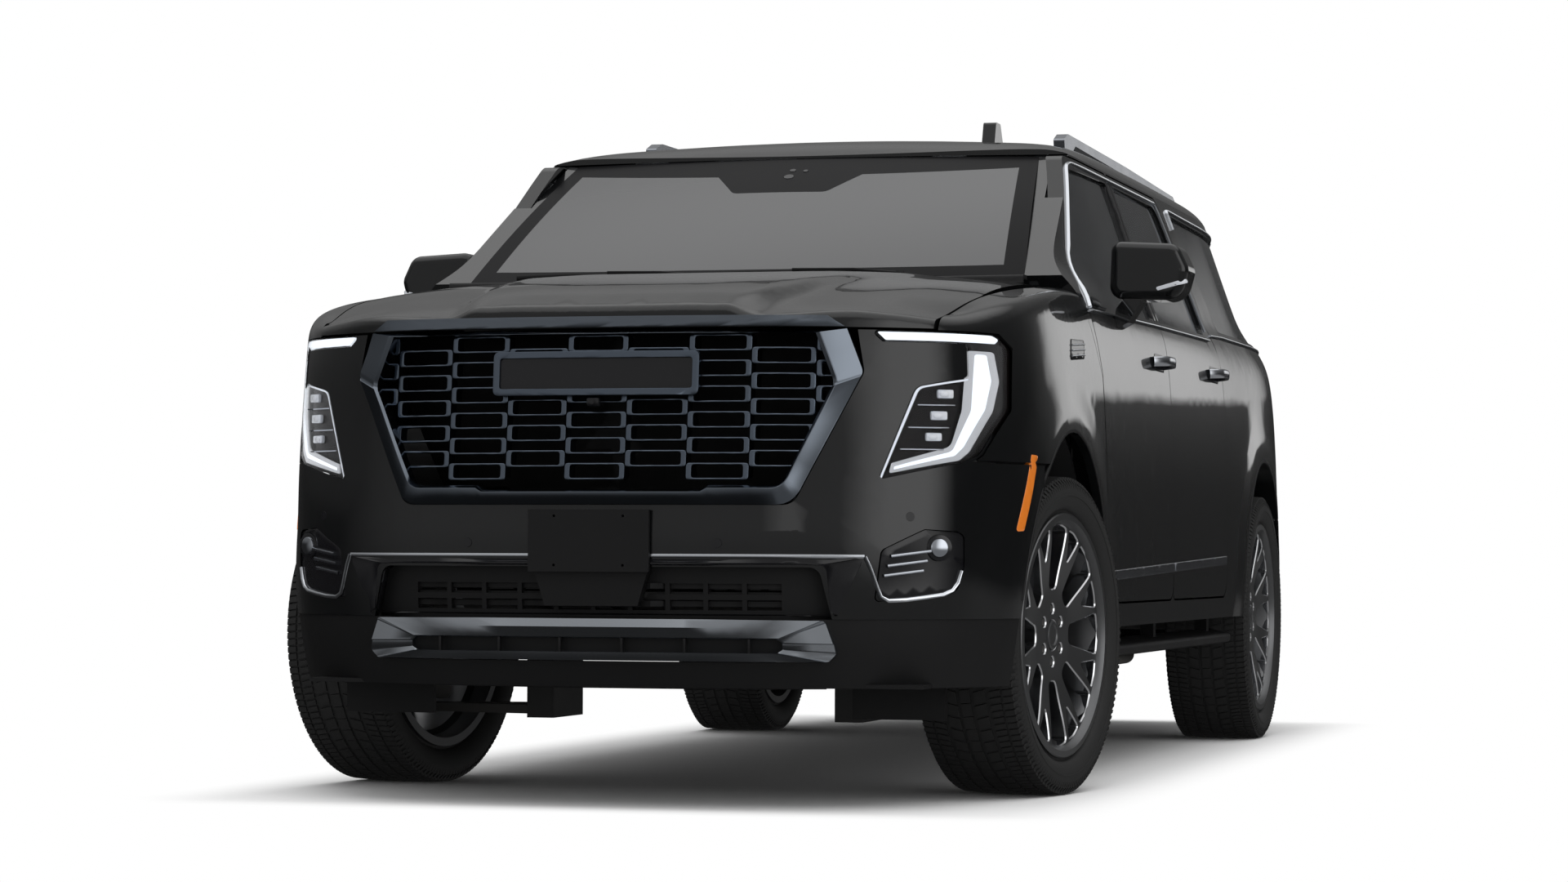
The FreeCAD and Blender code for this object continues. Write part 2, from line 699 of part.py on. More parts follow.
def make_liftgate():
    first = station_at_rear_x(800)
    gate = wall(first, across_tail(first), 760, 1890, 0, 62)
    gate = gate.common(front_prism(mirror_outline(LIFTGATE_HALF), half_length - 600, half_length + 100, 30))
    gate = gate.cut(front_prism(REAR_WINDOW, half_length - 600, half_length + 100, 40))
    gate = gate.cut(box(-FAR, FAR, 1800, ROOF_BACK + gap, door_top, 2000))
    grid = []
    for x in steps(-572, 572, 24):
        back = SPOILER_BACK - 45 * (x / 572) ** 2
        grid.append([Vector(x, y, roof_top(x, ROOF_BACK + gap) - 0.14 * (y - ROOF_BACK))
                     for y in steps(ROOF_BACK + gap, back, 6)])
    spoiler = solid_between(grid, offset_grid(grid, 30))
    add_part("liftgate", gate.fuse(spoiler))
    glass = wall(first, across_tail(first), 1250, 1850, size("glass_inset"),
                 size("glass_inset") + size("glass_thickness"))
    inner = grow(REAR_WINDOW, -size("glass_gap"), 40)
    add_part("liftgate_glass", glass.common(front_prism(inner, half_length - 600, half_length + 100)))


REAR_WINDOW = [(-640, 1300), (640, 1300), (560, 1770), (-560, 1770)]
make_roof()
make_windshield()
make_cowl()
make_liftgate()

# The nose, seen from the front.
FRAME_OUTER = [(0, 749), (505, 749, 40), (661, 1076, 30), (622, 1181), (0, 1181)]
FRAME_INNER = [(0, 784), (282, 784), (300, 796), (480, 796, 20), (597, 1049, 30), (552, 1181), (0, 1181)]
INTAKE = [(0, 466), (596, 466), (566, 597, 30), (0, 597)]
BLADE = [(0, 364), (570, 364, 20), (602, 392, 15), (590, 440, 15), (545, 470, 10), (0, 470)]
BLADE_SLOT = [(0, 402), (470, 402, 8), (480, 415, 4), (470, 428, 8), (0, 428)]
FOG_BEZEL = [(690, 512, 10), (865, 532, 30), (880, 600, 40), (880, 686, 20), (800, 692, 10), (706, 640, 20)]
nose_end = station_at_y(front_arch - size("arch_half_length") + 140)


def nose_wall(low, high, outer_depth, inner_depth, end=None, step=60):
    end = end or nose_end
    return wall(across_nose(end), end, low, high, outer_depth, inner_depth, step)


def make_bumper():
    cover = nose_wall(455, 1200, 0, size("panel_thickness"))
    cover = cover.common(nose_prism([(-1100, 470), (1100, 470), (1100, 857), (925, 857), (925, 1181),
                                     (-925, 1181), (-925, 857), (-1100, 857)]))
    cover = cover.cut(nose_prism(mirror_outline(FRAME_OUTER[:3] + [(622, 1300), (0, 1300)])))
    cover = cover.cut(nose_prism(mirror_outline(INTAKE)))
    fender_corner = FENDER_FRONT[:6] + [(1300, 860), (1300, 1700), (780, 1700)]
    for sign in (1, -1):
        cover = cover.cut(nose_prism([(sign * p[0], p[1]) for p in grow(fender_corner, gap / 2)]))
        cover = cover.cut(nose_prism([(sign * p[0],) + p[1:] for p in grow(LAMP_OUTLINE, size("glass_gap"))]))
        cover = cover.cut(nose_prism([(sign * p[0],) + p[1:] for p in FOG_BEZEL]))
        cover = cover.cut(mirrored(arch_opening(front_arch)) if sign < 0 else arch_opening(front_arch))
    cover = max(cover.Solids, key=lambda solid: solid.Volume)
    rail_end = front_axle - RAIL_FRONT - size("seat_gap")
    rail = size("rail_half_spacing")
    beam = [box(-rail - 38, rail + 38, rail_end - 40, rail_end, 520, 695)]
    for x in (-rail, rail):
        beam.append(box(x - 35, x + 35, nose_y(rail, 650) + 10, rail_end, 612, 692))
    add_part("front_bumper", joined([cover] + beam))


def make_lamps():
    lamp = wall(station_at_front_x(560), station_at_y(-2330), 780, 1240, 0.5, 62)
    lamp = lamp.common(nose_prism(LAMP_OUTLINE, 0, -2300))
    add_part("front_lamps", both(lamp))
    fog = wall(station_at_front_x(560), station_at_y(-2330), 480, 720, 4, 50)
    fog = fog.common(nose_prism(grow(FOG_BEZEL, -size("glass_gap")), 0, -2300))
    add_part("fog_lamps", both(fog))


GRILLE_PITCH_X = 156
GRILLE_PITCH_Z = 63.5


def grille_cell(x, z, half_wide, half_tall, corner):
    return front_prism([(x - half_wide, z - half_tall), (x + half_wide, z - half_tall),
                        (x + half_wide, z + half_tall), (x - half_wide, z + half_tall)],
                       NOSE_FRONT, -2600, corner)


def make_grille():
    frame = nose_wall(720, 1200, -14, 44, station_at_front_x(720))
    ring = nose_prism(mirror_outline(FRAME_OUTER)).cut(nose_prism(mirror_outline(FRAME_INNER)))
    ring = ring.common(nose_prism([(-1000, 749.4), (1000, 749.4), (1000, 1180), (-1000, 1180)]))
    ring = ring.common(nose_prism(grow(mirror_outline(FRAME_OUTER), -0.4)))
    frame = frame.common(ring)
    plaque = nose_wall(1000, 1150, -8, 13.6, station_at_front_x(330))
    plaque = plaque.common(nose_prism([(-268, 1018), (268, 1018), (268, 1130), (-268, 1130)], 14))
    add_part("grille_frame", Part.makeCompound([frame, plaque]))
    outer_rings = []
    windows = []
    for column in range(-4, 5):
        x = column * GRILLE_PITCH_X
        for row in range(8):
            z = 1149 - (row + 0.5 * (column % 2)) * GRILLE_PITCH_Z
            outer_rings.append(grille_cell(x, z, GRILLE_PITCH_X / 2 + 2, 21, 9))
            windows.append(grille_cell(x, z, 64, 16.5, 7))
    bars = outer_rings[0].fuse(outer_rings[1:]).cut(Part.makeCompound(windows))
    bars = bars.common(nose_prism(grow(mirror_outline(FRAME_INNER), -0.4)))
    body = nose_wall(770, 1200, 14, 52, station_at_front_x(680))
    add_part("grille", bars.common(body).removeSplitter())


def make_lower_nose():
    blade = nose_wall(340, 480, -14, 30, station_at_front_x(680))
    blade = blade.common(nose_prism(mirror_outline(BLADE)))
    blade = blade.cut(nose_prism(mirror_outline(BLADE_SLOT)))
    add_part("bumper_blade", blade)
    mesh = nose_wall(462, 600, 40, 70, station_at_front_x(640))
    mesh = mesh.common(nose_prism(grow(mirror_outline(INTAKE), -0.4)))
    slots = [box(x, x + 84, NOSE_FRONT, -2500, z, z + 26) for z in (490, 530) for x in range(-480, 400, 96)]
    mesh = mesh.cut(Part.makeCompound(slots))
    cover = nose_wall(468, 600, 4, 39.7, station_at_front_x(640))
    cover = cover.common(nose_prism([(-120, 500), (120, 500), (150, 596.7), (-150, 596.7)]))
    add_part("lower_grille", mesh.fuse(cover))
    valance = nose_wall(290, 480, 4, 34)
    valance = valance.common(nose_prism([(-1100, 300), (1100, 300), (1100, 469.5), (-1100, 469.5)]))
    valance = valance.cut(nose_prism(grow(mirror_outline(BLADE), 0.4)))
    for side in (arch_opening(front_arch), mirrored(arch_opening(front_arch))):
        valance = valance.cut(side)
    shelf = nose_wall(300, 312, 20, 110, station_at_front_x(800))
    lip = nose_wall(264, 306, 100, 110, station_at_front_x(600))
    lip = lip.common(box(-545, 545, -3000, -2000, 200, 400))
    deflector = box(560, 803, -2440, -2428, 214, 310)
    deflector = deflector.fuse(box(560, 803, -2700, -2428, 300, 310))
    add_part("air_dam", joined([valance, shelf, lip, deflector, mirrored(deflector)]))


def make_plate_bracket():
    front = nose_y(0, 660)
    plate = box(-156, 156, front - 14, front - 4, 584, 737)
    posts = [box(x - 18, x + 18, front - 5, nose_y(abs(x) + 18, 640) + 1, 610, 700) for x in (-120, 120)]
    plate = joined([plate] + posts)
    cover = next(part for part in parts if part.Label == "front_bumper").Shape.copy()
    plate = plate.cut(cover)
    cover.translate(Vector(0, -size("seat_gap"), 0))
    plate = max(plate.cut(cover).Solids, key=lambda solid: solid.Volume)
    for x in (-89, 89):
        for z in (600, 721):
            plate = plate.cut(tube(Vector(x, front - 40, z), Vector(x, front, z), 3.5))
    add_part("plate_bracket", plate)


make_bumper()
make_lamps()
make_grille()
make_lower_nose()
make_plate_bracket()


FRAME_BACK = half_length - 300


def make_rear_bumper():
    first = station_at_y(rear_arch + 300)
    cover = wall(first, across_tail(first), 285, 800, 0, size("panel_thickness"))
    region = side_prism([(rear_arch, 300), (half_length + 100, 300), (half_length + 100, REAR_BUMPER_TOP - gap / 2),
                         (rear_arch, REAR_BUMPER_TOP - gap / 2)], -FAR, FAR)
    cover = cover.common(region)
    for opening in (arch_opening(rear_arch), mirrored(arch_opening(rear_arch))):
        cover = cover.cut(opening)
    cover = cover.cut(box(-62, 62, half_length - 200, half_length + 100, 425, 520))
    shelf = wall(station_at_rear_x(735), across_tail(station_at_rear_x(735)), 735, 757, 10, 90)
    arms = [box(x - 35, x + 35, FRAME_BACK + size("seat_gap"), skin(station_at_rear_x(430), 540).y - 8, 490, 590)
            for x in (-430, 430)]
    buffer_y = skin(station_at_rear_x(600), 750).y
    buffers = [box(x - 12, x + 12, buffer_y - 50, buffer_y - 25, 740,
                   REAR_BUMPER_TOP + gap / 2 - size("seat_gap")) for x in (-600, 600)]
    add_part("rear_bumper", joined([cover, shelf] + arms + buffers))


def make_liners():
    pieces = []
    crown = axle_height + size("arch_height") + 20.5
    for centre, inner, high, low, depth in ((front_arch + 8, 560, 955, 575, lambda point: size("panel_thickness")),
                                            (rear_arch, 640, 818, 575, wall_depth)):
        ring = arch_opening(centre, 26, inner, high).cut(arch_opening(centre, 20, inner - 1, high + 1))
        ring = ring.cut(box(0, 1200, centre - 900, centre + 900, -500, low))
        side = arch_opening(centre, 20, inner, inner + 5)
        side = side.cut(box(0, 1200, centre - 900, centre + 900, -500, low))
        if centre > 0:
            ring = ring.fuse(side)
        tab = wall(station_at_y(centre - 24), station_at_y(centre + 24), crown + 3, crown + 12,
                   lambda point: depth(point) + size("seat_gap"), lambda point: size("half_width") - high + 15)
        pieces.append(joined([ring, tab]))
    add_part("wheelhouse_liners", Part.makeCompound([both(piece) for piece in pieces]))


def inside_cabin(shape):
    shell = wall(station_at_y(front_axle + 200), station_at_y(half_length - 200), 380, 1800, -40,
                 lambda point: wall_depth(point) + 1.5, 120)
    trimmed = shape.cut(shell).cut(mirrored(shell))
    return max(trimmed.Solids, key=lambda solid: solid.Volume)


FLOOR = 488
FLOOR_SHEET = 18
CARGO_FLOOR = 640


def make_floor():
    firewall_y = front_door_front - 90
    cargo = rear_arch - size("arch_half_length") - 60
    tail = half_length - 215
    pieces = [box(-900, 900, front_door_front + 10, cargo, FLOOR - FLOOR_SHEET, FLOOR),
              box(-612, 612, cargo - 20, tail, CARGO_FLOOR - FLOOR_SHEET, CARGO_FLOOR),
              box(-900, 900, cargo - 20, cargo, FLOOR - FLOOR_SHEET, CARGO_FLOOR),
              box(-552, 552, firewall_y, firewall_y + 24, 700, 965),
              box(-840, 840, firewall_y, firewall_y + 24, 962, 1330),
              side_prism([(firewall_y, 700), (firewall_y + 24, 700), (front_door_front + 34, FLOOR),
                          (front_door_front + 10, FLOOR - FLOOR_SHEET)], -552, 552)]
    floor = joined(pieces)
    add_part("floor_pan", inside_cabin(floor))


RAIL_LOW = 330
RAIL_HIGH = 462
HITCH_HIGH = 503.5


def make_ladder_frame():
    half = size("rail_half_spacing")
    path = [(front_axle - RAIL_FRONT, 470), (front_axle - 420, 470), (front_axle + 470, RAIL_LOW),
            (rear_axle - 540, RAIL_LOW), (rear_axle - 330, 480), (rear_axle + 380, 480), (FRAME_BACK, 470)]
    depth = RAIL_HIGH - RAIL_LOW
    top = [(path[0][0], path[0][1] + depth), (path[1][0], path[1][1] + depth),
           (path[2][0], path[2][1] + depth), (path[3][0], path[3][1] + depth),
           (path[4][0], path[4][1] + depth), (path[5][0], path[5][1] + depth),
           (path[6][0], path[6][1] + depth)]
    floor_seat = FLOOR - FLOOR_SHEET - size("seat_gap")
    rail = [side_prism(path + list(reversed(top)), half - 38, half + 38, 60),
            box(half - 38, half + 38, front_axle - 125, front_axle + 125, 185, 690)]
    for y in (front_door_front + 120, front_axle + 1500, front_axle + 2300):
        rail.append(box(half - 38, half + 38, y - 45, y + 45, RAIL_HIGH - 5, floor_seat))
    rail = joined(rail)
    # The cross-members are welded face to face between the rails, and the receiver under the last one.
    reach = half - 38
    members = [box(-reach, reach, y - 35, y + 35, low, high)
               for y, low, high in ((front_axle - 560, 500, 570), (front_axle - 180, 410, 480),
                                    (front_axle + 900, 398, 453), (front_axle + 2500, 425, 460),
                                    (rear_axle - 440, 480, 540), (rear_axle + 520, 500, 570),
                                    (half_length - 340, HITCH_HIGH, 570))]
    hitch = box(-31.75, 31.75, half_length - 375, half_length - 60, HITCH_HIGH - 63.5, HITCH_HIGH)
    middle = HITCH_HIGH - 31.75
    hitch = hitch.cut(box(-25.4, 25.4, half_length - 300, half_length - 50, middle - 25.4, middle + 25.4))
    hitch = hitch.cut(tube(Vector(-60, half_length - 110, middle), Vector(60, half_length - 110, middle), 8))
    frame = Part.makeCompound([rail, mirrored(rail)] + members + [hitch])
    add_part("ladder_frame", frame)


def make_powertrain():
    block = Part.makeBox(560, 640, 470, Vector(-280, front_axle - 330, 500))
    block = block.makeFillet(40, block.Edges)
    bell = Part.makeCone(175, 105, 130, Vector(0, front_axle + 250, 440), Vector(0, 1, -0.3))
    gearbox = Part.makeCone(105, 66, 560, Vector(0, front_axle + 300, 385), Vector(0, 1, -0.07))
    mount_reach = size("rail_half_spacing") - 38 - size("seat_gap")
    mount = box(-mount_reach, mount_reach, front_axle - 100, front_axle - 40, 590, 640)
    cooler = box(-385, 385, front_axle - 590, front_axle - 535, 570 + size("seat_gap"), 1120)
    add_part("powertrain", Part.makeCompound([joined([block, bell, gearbox, mount]), cooler]))
    start = Vector(0, front_axle + 861.7, 345)
    add_part("propeller_shaft", tube(start, Vector(0, rear_axle - 153, axle_height - 16), 30))


def make_exhaust():
    pipe_x = 620
    muffler = Part.makeCylinder(95, 620, Vector(pipe_x, front_axle + 1500, 300), Vector(0, 1, 0))
    muffler = muffler.makeFillet(25, muffler.Edges)
    front_pipe = tube(Vector(pipe_x, front_axle + 620, 300), Vector(pipe_x, front_axle + 1505, 300), 32)
    rear_pipe = tube(Vector(pipe_x, front_axle + 2110, 300), Vector(pipe_x, rear_axle - 560, 300), 32)
    floor_seat = FLOOR - FLOOR_SHEET - size("seat_gap")
    hangers = [box(pipe_x - 9, pipe_x + 9, y - 14, y + 14, 310, floor_seat)
               for y in (front_axle + 700, front_axle + 1700, front_axle + 2200, front_axle + 2700)]
    add_part("exhaust", joined([muffler, front_pipe, rear_pipe] + hangers))
    tank = Part.makeBox(320, 1150, floor_seat - 235, Vector(-376, front_axle + 1250, 235))
    tank = tank.makeFillet(45, tank.Edges)
    add_part("fuel_tank", tank)


make_rear_bumper()
make_liners()
make_floor()
make_ladder_frame()
make_powertrain()
make_exhaust()


# Sketch-based bodies for turned and padded pieces.
def new_body(name):
    body = doc.addObject("PartDesign::Body", name)
    body.Label = name
    parts.append(body)
    return body


def new_sketch(body, role, name, curves):
    sketch = body.newObject("Sketcher::SketchObject", name)
    plane = next(item for item in body.Origin.OriginFeatures if item.Role == role)
    sketch.AttachmentSupport = (plane, [""])
    sketch.MapMode = "FlatFace"
    for curve in curves:
        sketch.addGeometry(curve)
    return sketch


def revolve(body, name, points, radius=0.0):
    sketch = new_sketch(body, "XY_Plane", name + "_profile", outline_curves(points, radius))
    feature = body.newObject("PartDesign::Revolution", name)
    feature.Profile = (sketch, [""])
    feature.ReferenceAxis = (sketch, ["H_Axis"])
    feature.Angle = 360
    return feature


def make_tyre(name, place):
    body = new_body(name)
    half = size("tyre_width") / 2
    tread = size("tyre_radius")
    bead = size("rim_radius") + 0.3
    outside = [(half - 24.5, bead), (half - 24.5, bead + 24), (half, bead + 58, 30), (half - 3, tread - 32, 30),
               (half - 22, tread - 3, 14)]
    inside = [(half - 36, bead), (half - 34, bead + 28), (half - 15, bead + 58, 24), (half - 17, tread - 42, 24),
              (half - 32, tread - 17, 12)]
    right = [(-p[0],) + tuple(p[1:]) for p in outside]
    right_in = [(-p[0],) + tuple(p[1:]) for p in inside]
    profile = inside + right_in[::-1] + right + [(0, tread, 900)] + outside[::-1]
    revolve(body, name + "_carcass", profile)
    body.Placement = place
    return body


def make_rim(name, place):
    body = new_body(name)
    bead = size("rim_radius")
    barrel = [(-128, bead + 17), (-120, bead + 17), (-119, bead), (-88, bead - 2), (-70, bead - 18),
              (50, bead - 18), (70, bead - 2), (119, bead), (120, bead + 17), (128, bead + 17),
              (130, bead - 4), (112, bead - 14), (60, bead - 28), (-66, bead - 28), (-80, bead - 14),
              (-128, bead - 8)]
    revolve(body, name + "_barrel", barrel)
    hub = [(-5, 0), (88, 0), (90, 40), (84, 96), (50, 110), (-2, 100), (-2, 195), (-30, 195), (-30, 100),
           (-44, 92), (-60, 60), (-60, 32.05), (-5, 32.05)]
    revolve(body, name + "_hub", hub)
    spoke = [(-38, 88), (-29, 130, 20), (-69, 288), (69, 288), (29, 130, 20), (38, 88)]
    fork = [(0, 196, 9), (-38, 282, 9), (38, 282, 9)]
    sketch = new_sketch(body, "YZ_Plane", name + "_spoke_profile", outline_curves(spoke) + outline_curves(fork))
    sketch.AttachmentOffset = Placement(Vector(0, 0, 66), Rotation())
    feature = body.newObject("PartDesign::Pad", name + "_spoke")
    feature.Profile = (sketch, [""])
    feature.Length = 44
    pattern = body.newObject("PartDesign::PolarPattern", name + "_spokes")
    pattern.Originals = [feature]
    axis = next(item for item in body.Origin.OriginFeatures if item.Role == "X_Axis")
    pattern.Axis = (axis, [""])
    pattern.Angle = 360
    pattern.setExpression("Occurrences", "Sizes.spoke_count")
    body.Tip = pattern
    body.Placement = place
    return body


def wheel_place(side, front):
    turn = size("steer_rest_deg") if front else 0.0
    angle = -turn if side > 0 else 180.0 - turn
    rotation = Rotation(Vector(0, 0, 1), angle)
    if not front:
        return Placement(Vector(side * size("track_half"), rear_axle, axle_height), rotation)
    pivot = Vector(side * size("kingpin_x"), front_axle, axle_height)
    reach = rotation.multVec(Vector(size("track_half") - size("kingpin_x"), 0, 0))
    return Placement(pivot + reach, rotation)


for label, side, front in (("front_left", 1, True), ("front_right", -1, True),
                           ("rear_left", 1, False), ("rear_right", -1, False)):
    make_tyre("tyre_" + label, wheel_place(side, front))
    make_rim("rim_" + label, wheel_place(side, front))


LUG_HEIGHT = 190
ARM_GAP = 10
ARM_DEPTH = 24


# Steering knuckle, in the wheel's own place: X outboard along the axle.
def make_knuckle(name, place):
    offset = size("kingpin_x") - size("track_half")
    spindle = tube(Vector(-100, 0, 0), Vector(-10, 0, 0), 32)
    spindle = spindle.common(box(-200, 0, -40, 40, -40, 40))
    flange = tube(Vector(-104, 0, 0), Vector(-70, 0, 0), 70)
    upright = side_prism([(-42, -LUG_HEIGHT), (42, -LUG_HEIGHT), (60, 0), (42, LUG_HEIGHT), (-42, LUG_HEIGHT),
                          (-60, 0)], -116, -72, 20)
    lugs = [tube(Vector(offset, 0, z), Vector(offset, 0, z + 28), 26)
            for z in (LUG_HEIGHT - 28, -LUG_HEIGHT)]
    webs = [box(-116, offset, -22, 22, z, z + 28) for z in (LUG_HEIGHT - 28, -LUG_HEIGHT)]
    shape = joined([spindle, flange, upright] + lugs + webs)
    add_part(name, placed(shape, place))


make_knuckle("knuckle_left", wheel_place(1, True))
make_knuckle("knuckle_right", wheel_place(-1, True))


def make_suspension():
    pivot = Vector(size("kingpin_x"), front_axle, axle_height)
    rail_side = size("rail_half_spacing") + 38 + size("seat_gap")
    plate = [(pivot.x + 22, -24, 10), (pivot.x + 22, 24, 10), (rail_side, 112), (rail_side, -112)]
    hole = [(pivot.x - 90, 0, 8), (rail_side + 36, 62, 8), (rail_side + 36, -62, 8)]
    arms = []
    for sign in (1, -1):
        seat = axle_height + sign * (LUG_HEIGHT + ARM_GAP)
        low = min(seat, seat + sign * ARM_DEPTH)
        arm = plan_prism(plate, low, low + ARM_DEPTH).cut(plan_prism(hole, low - 1, low + ARM_DEPTH + 1))
        arm.translate(Vector(0, front_axle, 0))
        start = pivot + Vector(0, 0, sign * (LUG_HEIGHT + 0.5))
        end = pivot + Vector(0, 0, sign * (LUG_HEIGHT + ARM_GAP + 4))
        arms.append(joined([arm, tube(start, end, 14)]))
    housing = Part.makeSphere(150, Vector(0, rear_axle, axle_height))
    axle = tube(Vector(-765, rear_axle, axle_height), Vector(765, rear_axle, axle_height), 46)
    spindle = tube(Vector(-857.5, rear_axle, axle_height), Vector(857.5, rear_axle, axle_height), 32)
    springs = [tube(Vector(x, rear_axle, axle_height + 30), Vector(x, rear_axle, 479.7), 30) for x in (-430, 430)]
    rear = joined([housing, axle, spindle] + springs)
    add_part("front_suspension", Part.makeCompound([both(arm) for arm in arms]))
    add_part("rear_axle", rear)


make_suspension()


def make_seat(x, y, width, height=0):
    base = box(x - width / 2 + 60, x + width / 2 - 60, y + 60, y + 420, FLOOR + size("seat_gap") + height, 720)
    cushion = box(x - width / 2, x + width / 2, y, y + 560, 720, 860)
    cushion = cushion.makeFillet(40, cushion.Edges)
    back = side_prism([(y + 470, 800), (y + 590, 790), (y + 780, 1440), (y + 670, 1450)], x - width / 2, x + width / 2, 40)
    rest = side_prism([(y + 684, 1430), (y + 764, 1424), (y + 795, 1620), (y + 710, 1625)], x - 130, x + 130, 30)
    return joined([base, cushion, back, rest])


def make_interior():
    add_part("front_seats", Part.makeCompound([make_seat(390, -820, 540), make_seat(-390, -820, 540)]))
    add_part("middle_seats", Part.makeCompound([make_seat(390, 160, 540), make_seat(-390, 160, 540)]))
    bench = make_seat(0, 1120, 1160, CARGO_FLOOR - FLOOR)
    add_part("rear_seats", bench)
    y = front_door_front - 60
    profile = [(y, 900), (y + 330, 960), (y + 420, 1040), (y + 470, 1180), (y + 440, 1290), (y + 200, 1330), (y, 1326)]
    dash = side_prism(profile, -800, 800, 40)
    console = side_prism([(y + 250, FLOOR + size("seat_gap")), (y + 1150, FLOOR + size("seat_gap")), (y + 1150, 900),
                          (y + 900, 940), (y + 250, 960)], -110, 110, 30)
    add_part("dashboard", inside_cabin(joined([dash, console])))
    wheel = Part.makeTorus(185, 16)
    centre = [tube(Vector(0, 0, -14), Vector(0, 0, 14), 62), box(-185, 185, -18, 18, -8, 8),
              box(-18, 18, 0, 185, -8, 8), tube(Vector(0, 0, -175), Vector(0, 0, 0), 34)]
    wheel = joined([wheel] + centre)
    wheel_seat = Placement(Vector(390, y + 600, 1180), Rotation(Vector(1, 0, 0), -66))
    dash_solid = next(part for part in parts if part.Label == "dashboard").Shape
    grown = dash_solid.copy()
    grown.translate(Vector(0, size("seat_gap"), 0))
    wheel = placed(wheel, wheel_seat).cut(dash_solid).cut(grown)
    add_part("steering_wheel", max(wheel.Solids, key=lambda solid: solid.Volume))


make_interior()


def make_steps():
    length = rear_arch - size("arch_half_length") - 60 - front_door_front
    step = front_like_step(length)
    add_part("side_steps", both(step))


def front_like_step(length):
    profile = [(882, 345, 8), (972, 342, 12), (976, 372, 12), (905, 388, 10), (882, 388, 4)]
    tread = front_prism(profile, front_door_front, front_door_front + length)
    posts = [box(890, 930, y - 20, y + 20, 380, size("rocker_bottom") - size("seat_gap"))
             for y in (front_door_front + 200, front_door_front + 0.5 * length, front_door_front + length - 200)]
    return joined([tread] + posts)


make_steps()


def make_roof_rails():
    start, end = -294, 1960
    high = 1922
    profile = [(start, 1900, 6), (start + 60, high, 60), ((start + end) / 2, high + 1, 900), (end - 120, high - 8, 60),
               (end, 1880, 6), (end - 60, 1862, 6), (end - 150, 1878, 30), (end - 150, 1890, 10),
               (start + 190, 1897, 20), (start + 130, 1868, 10), (start + 10, 1868, 6)]
    rail = side_prism(profile, -17, 17)
    rail = placed(rail, Placement(Vector(652, 0, 0), Rotation(Vector(0, 0, 1), 0.9), Vector(0, start, 0)))
    rail = rail.cut(roof_solid_above())
    add_part("roof_rails", both(max(rail.Solids, key=lambda solid: solid.Volume)))
    fin = side_prism([(-400, 1870), (-372, 1948, 12), (-312, 1948, 12), (-262, 1870)], 434, 474)
    fin = fin.cut(roof_solid_above())
    add_part("antenna", max(fin.Solids, key=lambda solid: solid.Volume))


def roof_solid_above():
    roof = next(part for part in parts if part.Label == "roof").Shape
    lower = roof.copy()
    lower.translate(Vector(0, 0, size("seat_gap")))
    return roof.fuse(lower)


make_roof_rails()


def make_mirrors():
    head = front_prism([(955, 1356, 40), (1160, 1352, 60), (1184, 1440, 40), (1150, 1512, 40), (962, 1522, 30)],
                       -1085, -950)
    head = head.makeFillet(26, [edge for edge in head.Edges if abs(edge.CenterOfMass.y + 1085) < 1])
    arm = front_prism([(968, 1268, 8), (1010, 1290, 12), (1060, 1370, 20), (1010, 1372, 8), (975, 1330, 8)], -1070, -985)
    shape = joined([head, arm])
    door = next(part for part in parts if part.Label == "front_door_left").Shape
    grown = door.copy()
    grown.translate(Vector(size("seat_gap"), 0, 0))
    shape = shape.cut(door).cut(grown)
    shape = max(shape.Solids, key=lambda solid: solid.Volume)
    add_part("mirror_left", shape)
    add_part("mirror_right", mirrored(shape))


make_mirrors()

doc.recompute()
for part in doc.Objects:
    if "Invalid" in part.State or "Error" in part.State:
        raise RuntimeError(part.Label + " did not compute")
for part in parts:
    if part.Shape.isNull() or not part.Shape.Solids or not part.Shape.isValid():
        raise RuntimeError(part.Label + " has no valid solid")
os.makedirs("parts", exist_ok=True)
for part in parts:
    part.Shape.exportStep("parts/" + part.Label + ".step")
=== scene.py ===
import math
import bpy
import bmesh
import numpy
from mathutils import Matrix, Vector
from mathutils.bvhtree import BVHTree


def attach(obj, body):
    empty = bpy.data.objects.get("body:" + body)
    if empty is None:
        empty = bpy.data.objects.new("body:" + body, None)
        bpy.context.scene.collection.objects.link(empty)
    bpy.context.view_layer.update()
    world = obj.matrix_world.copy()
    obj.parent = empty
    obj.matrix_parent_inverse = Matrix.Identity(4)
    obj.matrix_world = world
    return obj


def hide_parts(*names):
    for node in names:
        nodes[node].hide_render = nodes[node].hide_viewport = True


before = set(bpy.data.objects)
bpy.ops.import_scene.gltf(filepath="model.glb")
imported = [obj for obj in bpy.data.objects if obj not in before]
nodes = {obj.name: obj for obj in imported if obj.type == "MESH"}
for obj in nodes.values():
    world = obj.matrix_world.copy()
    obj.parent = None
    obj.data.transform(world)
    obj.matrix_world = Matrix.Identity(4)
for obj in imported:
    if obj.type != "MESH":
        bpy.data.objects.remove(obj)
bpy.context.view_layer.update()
print("frame loaded with", len(nodes), "pieces")


# materials: small helpers, then one line of settings for each finish
def newMaterial(name, sockets):
    mat = bpy.data.materials.new(name)
    mat.use_nodes = True
    shader = mat.node_tree.nodes["Principled BSDF"]
    for socket, value in sockets.items():
        shader.inputs[socket].default_value = (*value, 1) if isinstance(value, tuple) else value
    return mat, mat.node_tree.nodes, mat.node_tree.links, shader


